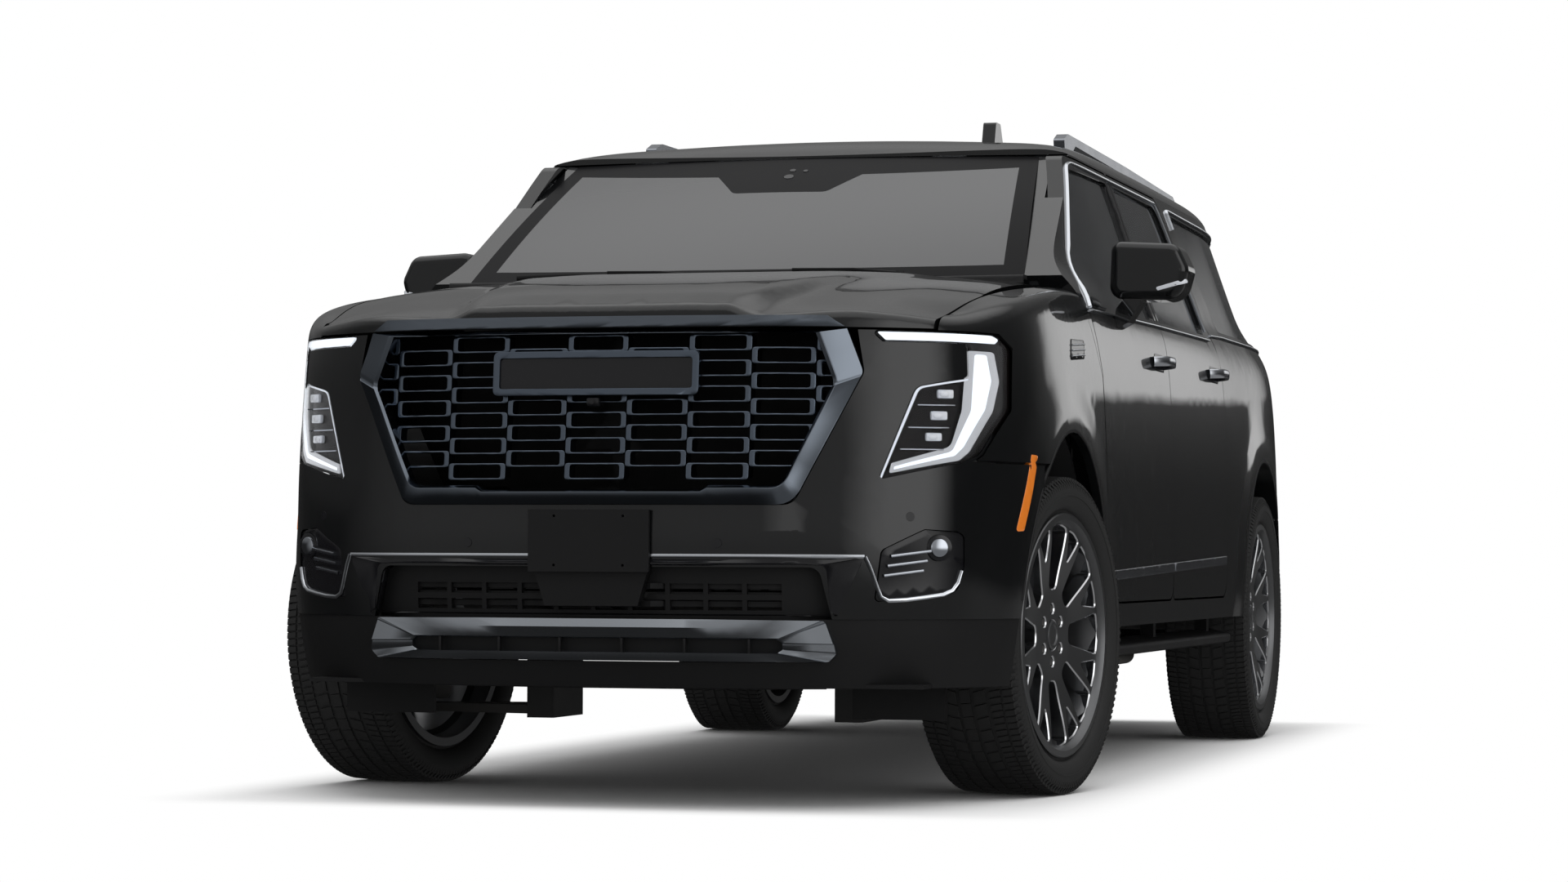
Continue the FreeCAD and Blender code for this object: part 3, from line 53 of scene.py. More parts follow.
def newGroup(name, inputs, outputs):
    group = bpy.data.node_groups.new(name, "ShaderNodeTree")
    for label, kind, value in inputs:
        socket = group.interface.new_socket(name=label, in_out="INPUT", socket_type=kind)
        socket.default_value = value
    for label, kind in outputs:
        group.interface.new_socket(name=label, in_out="OUTPUT", socket_type=kind)
    entry = group.nodes.new("NodeGroupInput")
    result = group.nodes.new("NodeGroupOutput")
    return group, group.nodes, group.links, entry, result


# fine grain: a noise value for bump and a roughness that wanders around its middle
def makeGrainGroup():
    group, ns, ls, entry, result = newGroup(
        "surfaceGrain",
        [("Scale", "NodeSocketFloat", 900.0), ("Roughness", "NodeSocketFloat", 0.4),
         ("Spread", "NodeSocketFloat", 0.1)],
        [("Height", "NodeSocketFloat"), ("Roughness", "NodeSocketFloat")])
    place = ns.new("ShaderNodeTexCoord")
    fine = ns.new("ShaderNodeTexNoise")
    wide = ns.new("ShaderNodeTexNoise")
    fine.inputs["Detail"].default_value = 3
    wide.inputs["Scale"].default_value = 7
    wide.inputs["Detail"].default_value = 4
    ls.new(place.outputs["Object"], fine.inputs["Vector"])
    ls.new(place.outputs["Object"], wide.inputs["Vector"])
    ls.new(entry.outputs["Scale"], fine.inputs["Scale"])
    offset = ns.new("ShaderNodeMath")
    offset.operation = "SUBTRACT"
    offset.inputs[1].default_value = 0.5
    amount = ns.new("ShaderNodeMath")
    amount.operation = "MULTIPLY_ADD"
    ls.new(wide.outputs["Fac"], offset.inputs[0])
    ls.new(offset.outputs[0], amount.inputs[0])
    ls.new(entry.outputs["Spread"], amount.inputs[1])
    ls.new(entry.outputs["Roughness"], amount.inputs[2])
    ls.new(fine.outputs["Fac"], result.inputs["Height"])
    ls.new(amount.outputs[0], result.inputs["Roughness"])
    return group


grainGroup = makeGrainGroup()


def addGrain(material, scale, roughness, spread, bump=0.0, distance=0.0004):
    mat, ns, ls, shader = material
    grain = ns.new("ShaderNodeGroup")
    grain.node_tree = grainGroup
    grain.inputs["Scale"].default_value = scale
    grain.inputs["Roughness"].default_value = roughness
    grain.inputs["Spread"].default_value = spread
    ls.new(grain.outputs["Roughness"], shader.inputs["Roughness"])
    if bump > 0:
        relief = ns.new("ShaderNodeBump")
        relief.inputs["Strength"].default_value = bump
        relief.inputs["Distance"].default_value = distance
        ls.new(grain.outputs["Height"], relief.inputs["Height"])
        ls.new(relief.outputs["Normal"], shader.inputs["Normal"])
    return mat


# each finish: its grain (scale, roughness, spread, then a bump's strength and depth) and its sockets
surfaces = {
    "blackPaint": ((2200, 0.3, 0.06, 0.02), {
        "Base Color": (0.0035, 0.0038, 0.0042), "Coat Weight": 1.0, "Coat Roughness": 0.02,
        "Specular IOR Level": 0.12}),
    "glossBlack": ((1500, 0.12, 0.04), {"Base Color": (0.006, 0.006, 0.007)}),
    "darkChrome": ((1800, 0.24, 0.06, 0.03), {"Base Color": (0.15, 0.18, 0.225), "Metallic": 1.0}),
    "frameSteel": ((1500, 0.2, 0.06, 0.02), {"Base Color": (0.19, 0.215, 0.25), "Metallic": 1.0}),
    "satinSilver": ((1600, 0.24, 0.08, 0.04), {"Base Color": (0.42, 0.44, 0.48), "Metallic": 1.0}),
    "chrome": ((1200, 0.2, 0.04), {"Base Color": (0.8, 0.83, 0.88), "Metallic": 1.0}),
    "mattePlastic": ((1400, 0.55, 0.12, 0.35), {
        "Base Color": (0.006, 0.006, 0.0065), "Specular IOR Level": 0.35}),
    "coarsePlastic": ((700, 0.62, 0.1, 0.5), {"Base Color": (0.02, 0.02, 0.021)}),
    "rubber": ((900, 0.7, 0.14, 0.4), {"Base Color": (0.014, 0.014, 0.014)}),
    "rimDark": ((1500, 0.34, 0.08, 0.06), {"Base Color": (0.16, 0.162, 0.166), "Metallic": 0.9}),
    "machined": ((1100, 0.16, 0.06, 0.03), {"Base Color": (0.85, 0.86, 0.88), "Metallic": 1.0}),
    "castIron": ((420, 0.6, 0.16, 0.6, 0.001), {"Base Color": (0.09, 0.088, 0.085), "Metallic": 0.7}),
    "bareSteel": ((600, 0.42, 0.16, 0.2), {"Base Color": (0.32, 0.31, 0.3), "Metallic": 1.0}),
    "chassisBlack": ((500, 0.5, 0.14, 0.3), {"Base Color": (0.018, 0.018, 0.018)}),
    "leather": ((520, 0.48, 0.1, 0.6, 0.0008), {"Base Color": (0.025, 0.024, 0.024)}),
    "windowGlass": ((60, 0.01, 0.01), {
        "Base Color": (0.10, 0.105, 0.11), "IOR": 1.45, "Transmission Weight": 0.85}),
    # windshield middle: glass whose grey base colour is a painted reflection of the bright sky
    "shieldGlass": ((60, 0.03, 0.02), {
        "Base Color": (0.085, 0.086, 0.088), "IOR": 1.45, "Transmission Weight": 0.12}),
    "tailLens": ((900, 0.06, 0.03), {"Base Color": (0.30, 0.004, 0.006), "Coat Weight": 1.0}),
    "lampGlow": ((600, 0.25, 0.05), {
        "Base Color": (0.3, 0.31, 0.32), "Emission Strength": 0.85, "Emission Color": (0.9, 0.95, 1.0)}),
    "clearLens": ((60, 0.0, 0.01), {
        "Base Color": (0.97, 0.98, 1.0), "IOR": 1.12, "Transmission Weight": 1.0}),
    "guideGlow": ((600, 0.2, 0.05), {
        "Base Color": (0.2, 0.2, 0.21), "Emission Strength": 0.26, "Emission Color": (0.93, 0.96, 1.0),
        "Coat Weight": 1.0}),
    "lampBlack": ((900, 0.25, 0.05), {"Base Color": (0.005, 0.004, 0.004), "Specular IOR Level": 0.12}),
    "lensChrome": ((1200, 0.12, 0.04), {"Base Color": (0.55, 0.58, 0.63), "Metallic": 1.0}),
    "bladeSilver": ((1600, 0.26, 0.06, 0.03), {"Base Color": (0.46, 0.49, 0.53), "Metallic": 1.0}),
    "amber": ((800, 0.12, 0.04), {"Base Color": (0.75, 0.2, 0.02), "Coat Weight": 1.0}),
    "clearTrim": ((900, 0.1, 0.04), {"Base Color": (0.62, 0.64, 0.68), "Coat Weight": 1.0}),
    "frit": ((800, 0.3, 0.04), {"Base Color": (0.004, 0.004, 0.0045), "Specular IOR Level": 0.05}),
}
mats = {name: addGrain(newMaterial(name, sockets), *grain) for name, (grain, sockets) in surfaces.items()}
print("materials ready")

# finishes of the CAD nodes
finishes = {
    "blackPaint": ["front_door_left", "front_door_right", "rear_door_left", "rear_door_right",
                   "body_side_left", "body_side_right", "hood", "front_fender_left", "front_fender_right",
                   "roof", "liftgate", "front_bumper", "rear_bumper", "mirror_left", "mirror_right",
                   "antenna"],
    "windowGlass": ["front_door_glass_left", "front_door_glass_right", "rear_door_glass_left",
                    "rear_door_glass_right", "quarter_glass", "liftgate_glass"],
    "frit": ["windshield"],
    "tailLens": ["tail_lamps"],
    "lampGlow": ["front_lamps", "fog_lamps"],
    "frameSteel": ["grille_frame", "hood_bar"],
    "darkChrome": ["grille"],
    "satinSilver": ["bumper_blade", "roof_rails"],
    "mattePlastic": ["lower_grille", "air_dam", "plate_bracket", "cowl", "side_steps", "dashboard",
                     "steering_wheel"],
    "coarsePlastic": ["wheelhouse_liners"],
    "rubber": ["tyre_front_left", "tyre_front_right", "tyre_rear_left", "tyre_rear_right"],
    "rimDark": ["rim_front_left", "rim_front_right", "rim_rear_left", "rim_rear_right"],
    "castIron": ["knuckle_left", "knuckle_right", "powertrain", "front_suspension", "rear_axle"],
    "bareSteel": ["exhaust", "propeller_shaft"],
    "chassisBlack": ["ladder_frame", "floor_pan", "fuel_tank"],
    "leather": ["front_seats", "middle_seats", "rear_seats"],
}


def paintNodes():
    for finish, names in finishes.items():
        for name in names:
            mesh = nodes[name].data
            mesh.materials.clear()
            mesh.materials.append(mats[finish])
    for name, obj in nodes.items():
        if not obj.data.materials or obj.data.materials[0].name not in mats:
            print("no finish for", name)


paintNodes()


# tools for building pieces
def treeOf(*names):
    trees = []
    for name in names:
        mesh = nodes[name].data
        trees.append(BVHTree.FromPolygons([v.co.copy() for v in mesh.vertices],
                                          [tuple(p.vertices) for p in mesh.polygons]))
    return trees


def castOn(trees, start, direction):
    # nearest hit of a ray on some CAD nodes
    best = None
    for tree in trees:
        hit = tree.ray_cast(start, direction, 8.0)
        if hit[0] is not None and (best is None or hit[3] < best[1]):
            best = (hit[0], hit[3])
    return best[0] if best else None


def nearOn(trees, point):
    best = None
    for tree in trees:
        hit = tree.find_nearest(point)
        if hit[0] is not None and (best is None or hit[3] < best[1]):
            best = (hit[0], hit[3])
    return best[0]


class Skin:
    # where a body skin lies: "nose" gives y at (x, z), "side" gives x at (y, z), "top" z at (x, y)
    def __init__(self, kind, *names):
        self.kind = kind
        self.trees = treeOf(*names)
        self.last = {"nose": -2.8, "tail": 2.8, "side": 1.0, "top": 1.5}[kind]

    def at(self, u, v):
        if self.kind == "nose":
            hit = castOn(self.trees, Vector((u, -5, v)), Vector((0, 1, 0)))
            value = (hit or nearOn(self.trees, Vector((u, self.last, v)))).y
        elif self.kind == "tail":
            hit = castOn(self.trees, Vector((u, 5, v)), Vector((0, -1, 0)))
            value = (hit or nearOn(self.trees, Vector((u, self.last, v)))).y
        elif self.kind == "side":
            hit = castOn(self.trees, Vector((3, u, v)), Vector((-1, 0, 0)))
            value = (hit or nearOn(self.trees, Vector((self.last, u, v)))).x
        else:
            hit = castOn(self.trees, Vector((u, v, 4)), Vector((0, 0, -1)))
            value = (hit or nearOn(self.trees, Vector((u, v, self.last)))).z
        self.last = value
        return value

    def steady(self, u, v, reach=0.007):
        # the middle value of five, so that a ray into a panel gap doesn't count
        around = ((0, 0), (reach, 0), (-reach, 0), (0, reach), (0, -reach))
        return sorted(self.at(u + a, v + b) for a, b in around)[2]

    def point(self, u, v, lift=0.0):
        value = self.steady(u, v)
        if self.kind == "nose":
            return Vector((u, value - lift, v))
        if self.kind == "tail":
            return Vector((u, value + lift, v))
        if self.kind == "side":
            return Vector((value + lift, u, v))
        return Vector((u, v, value + lift))

    def inward(self):
        return {"nose": Vector((0, 1, 0)), "tail": Vector((0, -1, 0)), "side": Vector((-1, 0, 0)),
                "top": Vector((0, 0, -1))}[self.kind]


class FittedSkin(Skin):
    # a smooth curved sheet laid through a stretch of another skin
    def __init__(self, skin, left, right, low, high):
        self.kind = skin.kind
        self.middle = ((left + right) / 2, (low + high) / 2)
        self.reach = ((right - left) / 2, (high - low) / 2)
        shares = [i / 11 for i in range(12)]
        spots = [(left + (right - left) * a, low + (high - low) * b) for a in shares for b in shares]
        values = [skin.steady(*spot) for spot in spots]
        self.terms = [(i, k) for i in range(5) for k in range(4) if i + k < 6]
        for _ in range(3):
            grid = numpy.array([self.row(*spot) for spot in spots])
            self.weights = numpy.linalg.lstsq(grid, numpy.array(values), rcond=None)[0]
            apart = [abs(self.at(*spot) - value) for spot, value in zip(spots, values)]
            keep = sorted(range(len(spots)), key=lambda n: apart[n])[:int(len(spots) * 0.86)]
            spots = [spots[n] for n in keep]
            values = [values[n] for n in keep]

    def row(self, u, v):
        a, b = (u - self.middle[0]) / self.reach[0], (v - self.middle[1]) / self.reach[1]
        return [a ** i * b ** k for i, k in self.terms]

    def at(self, u, v):
        return float(numpy.dot(self.row(u, v), self.weights))

    def steady(self, u, v):
        return self.at(u, v)


def flat(points):
    # outline points in millimetres with an optional corner radius, as rounded points in metres
    made = []
    count = len(points)
    for i in range(count):
        here = Vector(points[i][:2]) / 1000
        back = Vector(points[i - 1][:2]) / 1000 - here
        ahead = Vector(points[(i + 1) % count][:2]) / 1000 - here
        radius = points[i][2] / 1000 if len(points[i]) > 2 else 0
        angle = back.angle(ahead)
        if radius <= 0 or angle > math.pi - 0.05:
            made.append(here)
            continue
        reach = min(radius / math.tan(angle / 2), 0.48 * back.length, 0.48 * ahead.length)
        a, b = here + back.normalized() * reach, here + ahead.normalized() * reach
        for t in (0, 0.25, 0.5, 0.75, 1):
            made.append((1 - t) ** 2 * a + 2 * t * (1 - t) * here + t * t * b)
    return made


def fillOutline(loops, step):
    # a flat sheet of small triangles inside the first loop and outside the others
    bm = bmesh.new()
    edges = []
    for loop in loops:
        corners = [bm.verts.new((p[0], p[1], 0)) for p in loop]
        for i, corner in enumerate(corners):
            edges.append(bm.edges.new((corner, corners[(i + 1) % len(corners)])))
    bmesh.ops.triangle_fill(bm, use_beauty=True, edges=edges)
    for _ in range(7):
        wide = [e for e in bm.edges if e.calc_length() > step]
        if not wide:
            break
        bmesh.ops.subdivide_edges(bm, edges=wide, cuts=1)
        bmesh.ops.triangulate(bm, faces=bm.faces[:])
    return bm


def addMesh(bm, other):
    mesh = bpy.data.meshes.new("part")
    other.to_mesh(mesh)
    other.free()
    bm.from_mesh(mesh)
    bpy.data.meshes.remove(mesh)
    return bm


def finishPiece(name, bm, material, body, replaces=(), sharp=38, slot=None):
    mesh = bpy.data.meshes.new(name)
    bm.to_mesh(mesh)
    bm.free()
    for one in ([material] if isinstance(material, str) else material):
        mesh.materials.append(mats[one])
    mesh.polygons.foreach_set("use_smooth", [True] * len(mesh.polygons))
    mesh.set_sharp_from_angle(angle=math.radians(sharp))
    obj = bpy.data.objects.new(name, mesh)
    bpy.context.scene.collection.objects.link(obj)
    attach(obj, body)
    if replaces:
        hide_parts(*replaces)
    return obj


def plateMesh(skin, outer, lift, depth, holes=(), step=0.03, bevel=0.0):
    # a sheet that follows a body skin, with a thickness, in millimetre outlines
    loops = [flat(outer)] + [flat(hole) for hole in holes]
    bm = fillOutline(loops, step)
    for v in bm.verts:
        v.co = skin.point(v.co.x, v.co.y, lift / 1000)
    grown = bmesh.ops.extrude_face_region(bm, geom=bm.faces[:], use_keep_orig=True)
    back = [v for v in grown["geom"] if isinstance(v, bmesh.types.BMVert)]
    bmesh.ops.translate(bm, vec=skin.inward() * depth / 1000, verts=back)
    bmesh.ops.recalc_face_normals(bm, faces=bm.faces[:])
    moved = set(back)
    if bevel:
        rim = [e for e in bm.edges if len(e.link_faces) == 2 and not (set(e.verts) & moved)
               and e.calc_face_angle(0) > math.radians(50)]
        bmesh.ops.bevel(bm, geom=rim, offset=bevel / 1000, segments=2, profile=0.5, affect="EDGES",
                        material=-1, clamp_overlap=True)
    return bm


def bandMesh(skin, outer, inner, profile, depth):
    # a closed band between two matching outlines; the profile gives the share inward and how far each line
    # stands out along the top, the uprights and the bottom, in millimetres
    rows = list(zip(flat(outer), flat(inner)))
    fine = []
    for i, (a, b) in enumerate(rows):
        nextA, nextB = rows[(i + 1) % len(rows)]
        cuts = max(1, round((nextA - a).length / 0.06))
        for k in range(cuts):
            fine.append((a.lerp(nextA, k / cuts), b.lerp(nextB, k / cuts)))
    count = len(fine)
    levels = []
    for part in (0.2, 0.8):
        line = [skin.steady(*a.lerp(b, part)) for a, b in fine]
        levels.append([sum(line[(i + k) % count] for k in (-1, 0, 1)) / 3 for i in range(count)])

    def row(i):
        a, b = fine[i % count]
        out = (a - b).normalized()
        side = abs(out.x)
        low, high = levels[0][i % count], levels[1][i % count]
        points = []
        for share, topLift, sideLift, lowLift in profile:
            lift = topLift if out.y > 0 else lowLift
            p = a.lerp(b, share)
            y = low + (high - low) * (share - 0.2) / 0.6
            points.append(Vector((p.x, y - (lift + (sideLift - lift) * side) / 1000, p.y)))
        deep = max(low, high) + depth / 1000
        points.append(Vector((points[-1].x, deep, points[-1].z)))
        points.append(Vector((points[0].x, deep, points[0].z)))
        return points

    bm = bmesh.new()
    verts = [bm.verts.new(p) for p in row(0)]
    edges = [bm.edges.new((verts[i - 1], verts[i])) for i in range(len(verts))]
    for i in range(1, count + 1):
        grown = bmesh.ops.extrude_edge_only(bm, edges=edges)["geom"]
        fresh = [g for g in grown if isinstance(g, bmesh.types.BMVert)]
        edges = [g for g in grown if isinstance(g, bmesh.types.BMEdge)]
        before = row(i - 1)
        after = row(i)
        for v in fresh:
            near = min(range(len(before)), key=lambda k: (before[k] - v.co).length_squared)
            v.co = after[near]
    bmesh.ops.remove_doubles(bm, verts=bm.verts[:], dist=0.00002)
    bmesh.ops.recalc_face_normals(bm, faces=bm.faces[:])
    return bm


def flipX(bm):
    bmesh.ops.transform(bm, matrix=Matrix.Scale(-1, 4, (1, 0, 0)), verts=bm.verts[:])
    bmesh.ops.reverse_faces(bm, faces=bm.faces[:])
    return bm


def bothSides(name, build, material, body, **more):
    # the left piece and its mirror image, which may ride on different bodies
    bodies = body if isinstance(body, tuple) else (body, body)
    finishPiece(name + "Left", build(), material, bodies[0], **more)
    more.pop("replaces", None)
    finishPiece(name + "Right", flipX(build()), material, bodies[1], **more)


def tubeMesh(path, profile, up=Vector((0, 0, 1)), bm=None):
    # a profile of (across, up) millimetres drawn along a path of points in metres
    bm = bm or bmesh.new()
    count = len(path)
    frames = []
    for i, p in enumerate(path):
        before = path[i - 1] if i > 0 else p
        after = path[i + 1] if i < count - 1 else p
        along = (after - before).normalized()
        across = along.cross(up).normalized()
        over = across.cross(along)
        frames.append(Matrix.Translation(p) @ Matrix((across, over, along)).transposed().to_4x4())
    ring = [bm.verts.new(frames[0] @ Vector((a / 1000, b / 1000, 0))) for a, b in profile]
    edges = [bm.edges.new((ring[i - 1], ring[i])) for i in range(len(ring))]
    first = list(edges)
    for i in range(1, count):
        grown = bmesh.ops.extrude_edge_only(bm, edges=edges)["geom"]
        verts = [g for g in grown if isinstance(g, bmesh.types.BMVert)]
        edges = [g for g in grown if isinstance(g, bmesh.types.BMEdge)]
        step = frames[i] @ frames[i - 1].inverted()
        bmesh.ops.transform(bm, matrix=step, verts=verts)
    bmesh.ops.edgeloop_fill(bm, edges=first)
    bmesh.ops.edgeloop_fill(bm, edges=edges)
    bmesh.ops.recalc_face_normals(bm, faces=bm.faces[:])
    return bm


def roundProfile(wide, tall, corner=0.45, segments=10):
    # a rounded rectangle for strips and rods
    made = []
    for i in range(segments * 2):
        turn = math.pi * i / segments
        c, s = math.cos(turn), math.sin(turn)
        across = wide / 2 * math.copysign(abs(c) ** corner, c)
        up = tall / 2 * math.copysign(abs(s) ** corner, s)
        made.append((across, up))
    return made


def boxMesh(low, high, bevel=0.0, bm=None, turn=None):
    # a block between two corners in millimetres
    bm = bm or bmesh.new()
    made = bmesh.ops.create_cube(bm, size=1)["verts"]
    size = [(high[i] - low[i]) / 1000 for i in range(3)]
    middle = Vector([(high[i] + low[i]) / 2000 for i in range(3)])
    bmesh.ops.scale(bm, vec=size, verts=made)
    if bevel:
        edges = list({e for v in made for e in v.link_edges})
        grown = bmesh.ops.bevel(bm, geom=edges, offset=bevel / 1000, segments=2, profile=0.5, affect="EDGES",
                                material=-1)
        made = list({v for f in grown["faces"] for v in f.verts} | {v for v in made if v.is_valid})
    if turn is not None:
        bmesh.ops.transform(bm, matrix=turn, verts=made)
    bmesh.ops.translate(bm, vec=middle, verts=made)
    return bm


# the nose: headlamps, grille, fog bezels, intake and blade
noseSkin = Skin("nose", "front_bumper", "front_lamps", "front_fender_left", "front_fender_right", "hood",
                "grille_frame", "hood_bar", "fog_lamps", "bumper_blade", "lower_grille")
lampSkin = FittedSkin(noseSkin, 0.68, 0.955, 0.81, 1.185)
fogSkin = FittedSkin(noseSkin, 0.66, 0.89, 0.505, 0.70)
frameSkin = Skin("nose", "grille_frame")
barSkin = Skin("nose", "hood_bar")
bladeSkin = FittedSkin(Skin("nose", "bumper_blade"), -0.58, 0.58, 0.37, 0.46)

lampSize = {
    "outline": [(670, 1180, 8), (919, 1180, 30), (944, 1150, 40), (947, 992, 60), (904, 879, 40),
                (871, 857, 20), (699, 813, 8), (776, 1042, 30), (880, 1067, 12), (876, 1153, 12),
                (700, 1153, 8)],
    "barOutline": [(684, 1177, 3), (916, 1177, 6), (928, 1168, 6), (922, 1157, 4), (704, 1157, 4)],
    "guideOutline": [(921, 1136, 8), (932, 1063, 60), (923, 986, 60), (884, 884, 30), (865, 862, 16),
                     (719, 828, 4), (724, 853, 4), (848, 895, 26), (868, 986, 60), (874, 1136, 8)],
    "coreOutline": [(910, 1128, 6), (920, 1063, 50), (911, 990, 50), (874, 896, 26), (857, 873, 14),
                    (729, 837, 3), (731, 845, 3), (852, 884, 20), (886, 986, 60), (889, 1128, 6)],
    "innerLine": [(880, 1066, 10), (776, 1042, 26), (699, 813, 6), (704, 815, 4), (781, 1038, 22),
                  (880, 1061, 8)],
    "modules": [(833, 1026, 44, 27), (821, 972, 45, 27), (811, 919, 43, 25)],
    "sills": [(815, 998, 112), (800, 942, 122), (787, 888, 130)],
    "housingDepth": 40,
    "lensDepth": 3,
}


def lampHousing():
    return plateMesh(lampSkin, lampSize["outline"], -20, lampSize["housingDepth"], step=0.03)


def lampLens():
    return plateMesh(lampSkin, lampSize["outline"], 0, lampSize["lensDepth"], step=0.025, bevel=0.8)


def lampGuide():
    return plateMesh(lampSkin, lampSize["guideOutline"], -6, 9, step=0.016, bevel=1.6)


def lampCore():
    return plateMesh(lampSkin, lampSize["coreOutline"], -4, 5, step=0.016, bevel=1.2)


def lampBar():
    return plateMesh(lampSkin, lampSize["barOutline"], -5, 9, step=0.02, bevel=1.6)


def lampInnerLine():
    return plateMesh(lampSkin, lampSize["innerLine"], -4, 12, step=0.02, bevel=0.8)


def lampModules():
    bm = bmesh.new()
    for x, z, wide, tall in lampSize["modules"]:
        y = lampSkin.steady(x / 1000, z / 1000) * 1000 + 10
        turn = Matrix.Rotation(math.radians(36), 4, "Z")
        nearCorner = (x - wide * 0.5, y - 4, z - tall * 0.42)
        farCorner = (x + wide * 0.5, y + 10, z + tall * 0.42)
        boxMesh(nearCorner, farCorner, 5, bm, turn)
        eye = bmesh.ops.create_uvsphere(bm, u_segments=20, v_segments=10, radius=tall * 0.0003)["verts"]
        bmesh.ops.scale(bm, vec=(1.7, 0.5, 1), verts=eye)
        eyePlace = Matrix.Translation((x / 1000, (y - 5) / 1000, z / 1000)) @ turn
        bmesh.ops.transform(bm, matrix=eyePlace, verts=eye)
    return bm


def lampSills():
    bm = bmesh.new()
    for x, z, wide in lampSize["sills"]:
        y = lampSkin.steady(x / 1000, z / 1000) * 1000 + 9
        turn = Matrix.Rotation(math.radians(34), 4, "Z")
        boxMesh((x - wide * 0.44, y - 1, z - 1.5), (x + wide * 0.44, y + 8, z + 1.5), 0.6, bm, turn)
    return bm


bothSides("lampHousing", lampHousing, "lampBlack", "vehicle_body", replaces=("front_lamps",))
bothSides("lampLens", lampLens, "clearLens", "vehicle_body")
bothSides("lampGuide", lampGuide, "guideGlow", "vehicle_body")
bothSides("lampCore", lampCore, "lampGlow", "vehicle_body")
bothSides("lampBar", lampBar, "lampGlow", "vehicle_body")
bothSides("lampInnerLine", lampInnerLine, "chrome", "vehicle_body")
bothSides("lampModules", lampModules, "clearTrim", "vehicle_body")
bothSides("lampSills", lampSills, "satinSilver", "vehicle_body")
print("headlamps built")

grilleSize = {
    "pitchX": 156.0,
    "pitchZ": 63.5,
    "topCentre": 1149,
    "halfWide": 78,
    "halfTall": 21,
    "windowHalfWide": 64,
    "windowHalfTall": 16,
    "depth": 42,
}
frameSize = {
    "opening": [(0, 785), (283, 785, 6), (300, 797, 6), (479, 797, 20), (596, 1049, 30), (551, 1179),
                (0, 1179)],
    "outer": [(283, 750), (300, 750), (504, 750, 60), (660, 1076, 30), (619, 1183), (300, 1183)],
    "inner": [(283, 786), (300, 797), (479, 797, 44), (597, 1049, 30), (551, 1171), (300, 1171)],
    "profile": [(0.0, -14, -22, -14), (0.0, -3, -9, -3), (0.06, -1, -8, -1), (0.80, 8, 11, 8),
                (0.86, 8, 11, 8), (1.0, -3, 4, -5), (1.0, -22, -22, -22)],
    "depth": 34,
    "hoodBar": [(-616, 1188), (616, 1188), (574, 1215, 6), (-574, 1215, 6)],
    "plaqueOuter": [(-267, 1019, 16), (267, 1019, 16), (267, 1129, 16), (-267, 1129, 16)],
    "plaqueHole": [(-250, 1036, 8), (250, 1036, 8), (250, 1112, 8), (-250, 1112, 8)],
    "plaqueFace": [(-251, 1035, 8), (251, 1035, 8), (251, 1113, 8), (-251, 1113, 8)],
}


def wholeOutline(half):
    return half + [(-p[0],) + tuple(p[1:]) for p in reversed(half)]


def mirrored(half):
    # a full outline from its right half, listed from the bottom middle to the top middle
    return half[1:-1] + [(-p[0],) + tuple(p[1:]) for p in reversed(half[1:-1])]


def grilleRings():
    g = grilleSize
    bm = bmesh.new()
    skin = Skin("nose", "grille")
    for column in range(-4, 5):
        for row in range(7):
            x = column * g["pitchX"]
            z = g["topCentre"] - (row + 0.5 * (column % 2)) * g["pitchZ"]
            edge = 478 + (z - 797) * 118 / 252 if z < 1049 else 596 - (z - 1049) * 45 / 132
            if abs(x) - g["halfWide"] > edge - 10 or z < 800:
                continue
            outer = [(x + sx * g["halfWide"], z + sz * g["halfTall"], 9)
                     for sx, sz in ((-1, -1), (1, -1), (1, 1), (-1, 1))]
            hole = [(x + sx * g["windowHalfWide"], z + sz * g["windowHalfTall"], 7)
                    for sx, sz in ((-1, -1), (1, -1), (1, 1), (-1, 1))]
            cell = ringMesh(outer, hole, g["depth"])
            for v in cell.verts:
                y = skin.at(min(max(v.co.x, -0.57), 0.57), min(max(v.co.z, 0.79), 1.17))
                v.co.y += y + 0.004
            addMesh(bm, cell)
    for sign in (1, -1):
        for a, b in (((479, 797), (596, 1049)), ((596, 1049), (551, 1181))):
            along = Vector(((b[0] - a[0]) * sign, 0, b[1] - a[1]))
            out = Vector((along.z * sign, 0, -along.x * sign)).normalized()
            bmesh.ops.bisect_plane(bm, geom=bm.verts[:] + bm.edges[:] + bm.faces[:], clear_outer=True,
                                   plane_co=Vector((a[0] * sign, 0, a[1])) / 1000 + out * 0.004, plane_no=out)
    bmesh.ops.bisect_plane(bm, geom=bm.verts[:] + bm.edges[:] + bm.faces[:], clear_outer=True,
                           plane_co=(0, 0, 0.7945), plane_no=(0, 0, -1))
    bmesh.ops.bisect_plane(bm, geom=bm.verts[:] + bm.edges[:] + bm.faces[:], clear_outer=True,
                           plane_co=(0, 0, 1.18), plane_no=(0, 0, 1))
    return bm


def ringMesh(outer, hole, depth):
    # one rounded rectangular ring with a bevelled front
    bm = fillOutline([flat(outer), flat(hole)], 0.05)
    for v in bm.verts:
        v.co = Vector((v.co.x, 0, v.co.y))
    grown = bmesh.ops.extrude_face_region(bm, geom=bm.faces[:], use_keep_orig=True)
    back = [v for v in grown["geom"] if isinstance(v, bmesh.types.BMVert)]
    bmesh.ops.translate(bm, vec=(0, depth / 1000, 0), verts=back)
    bmesh.ops.recalc_face_normals(bm, faces=bm.faces[:])
    moved = set(back)
    rim = [e for e in bm.edges if not (set(e.verts) & moved) and len(e.link_faces) == 2
           and e.calc_face_angle(0) > 0.9]
    bmesh.ops.bevel(bm, geom=rim, offset=0.0022, segments=2, profile=0.5, affect="EDGES", material=-1)
    return bm


finishPiece("grilleRings", grilleRings(), "darkChrome", "vehicle_body", replaces=("grille",))
print("grille built")


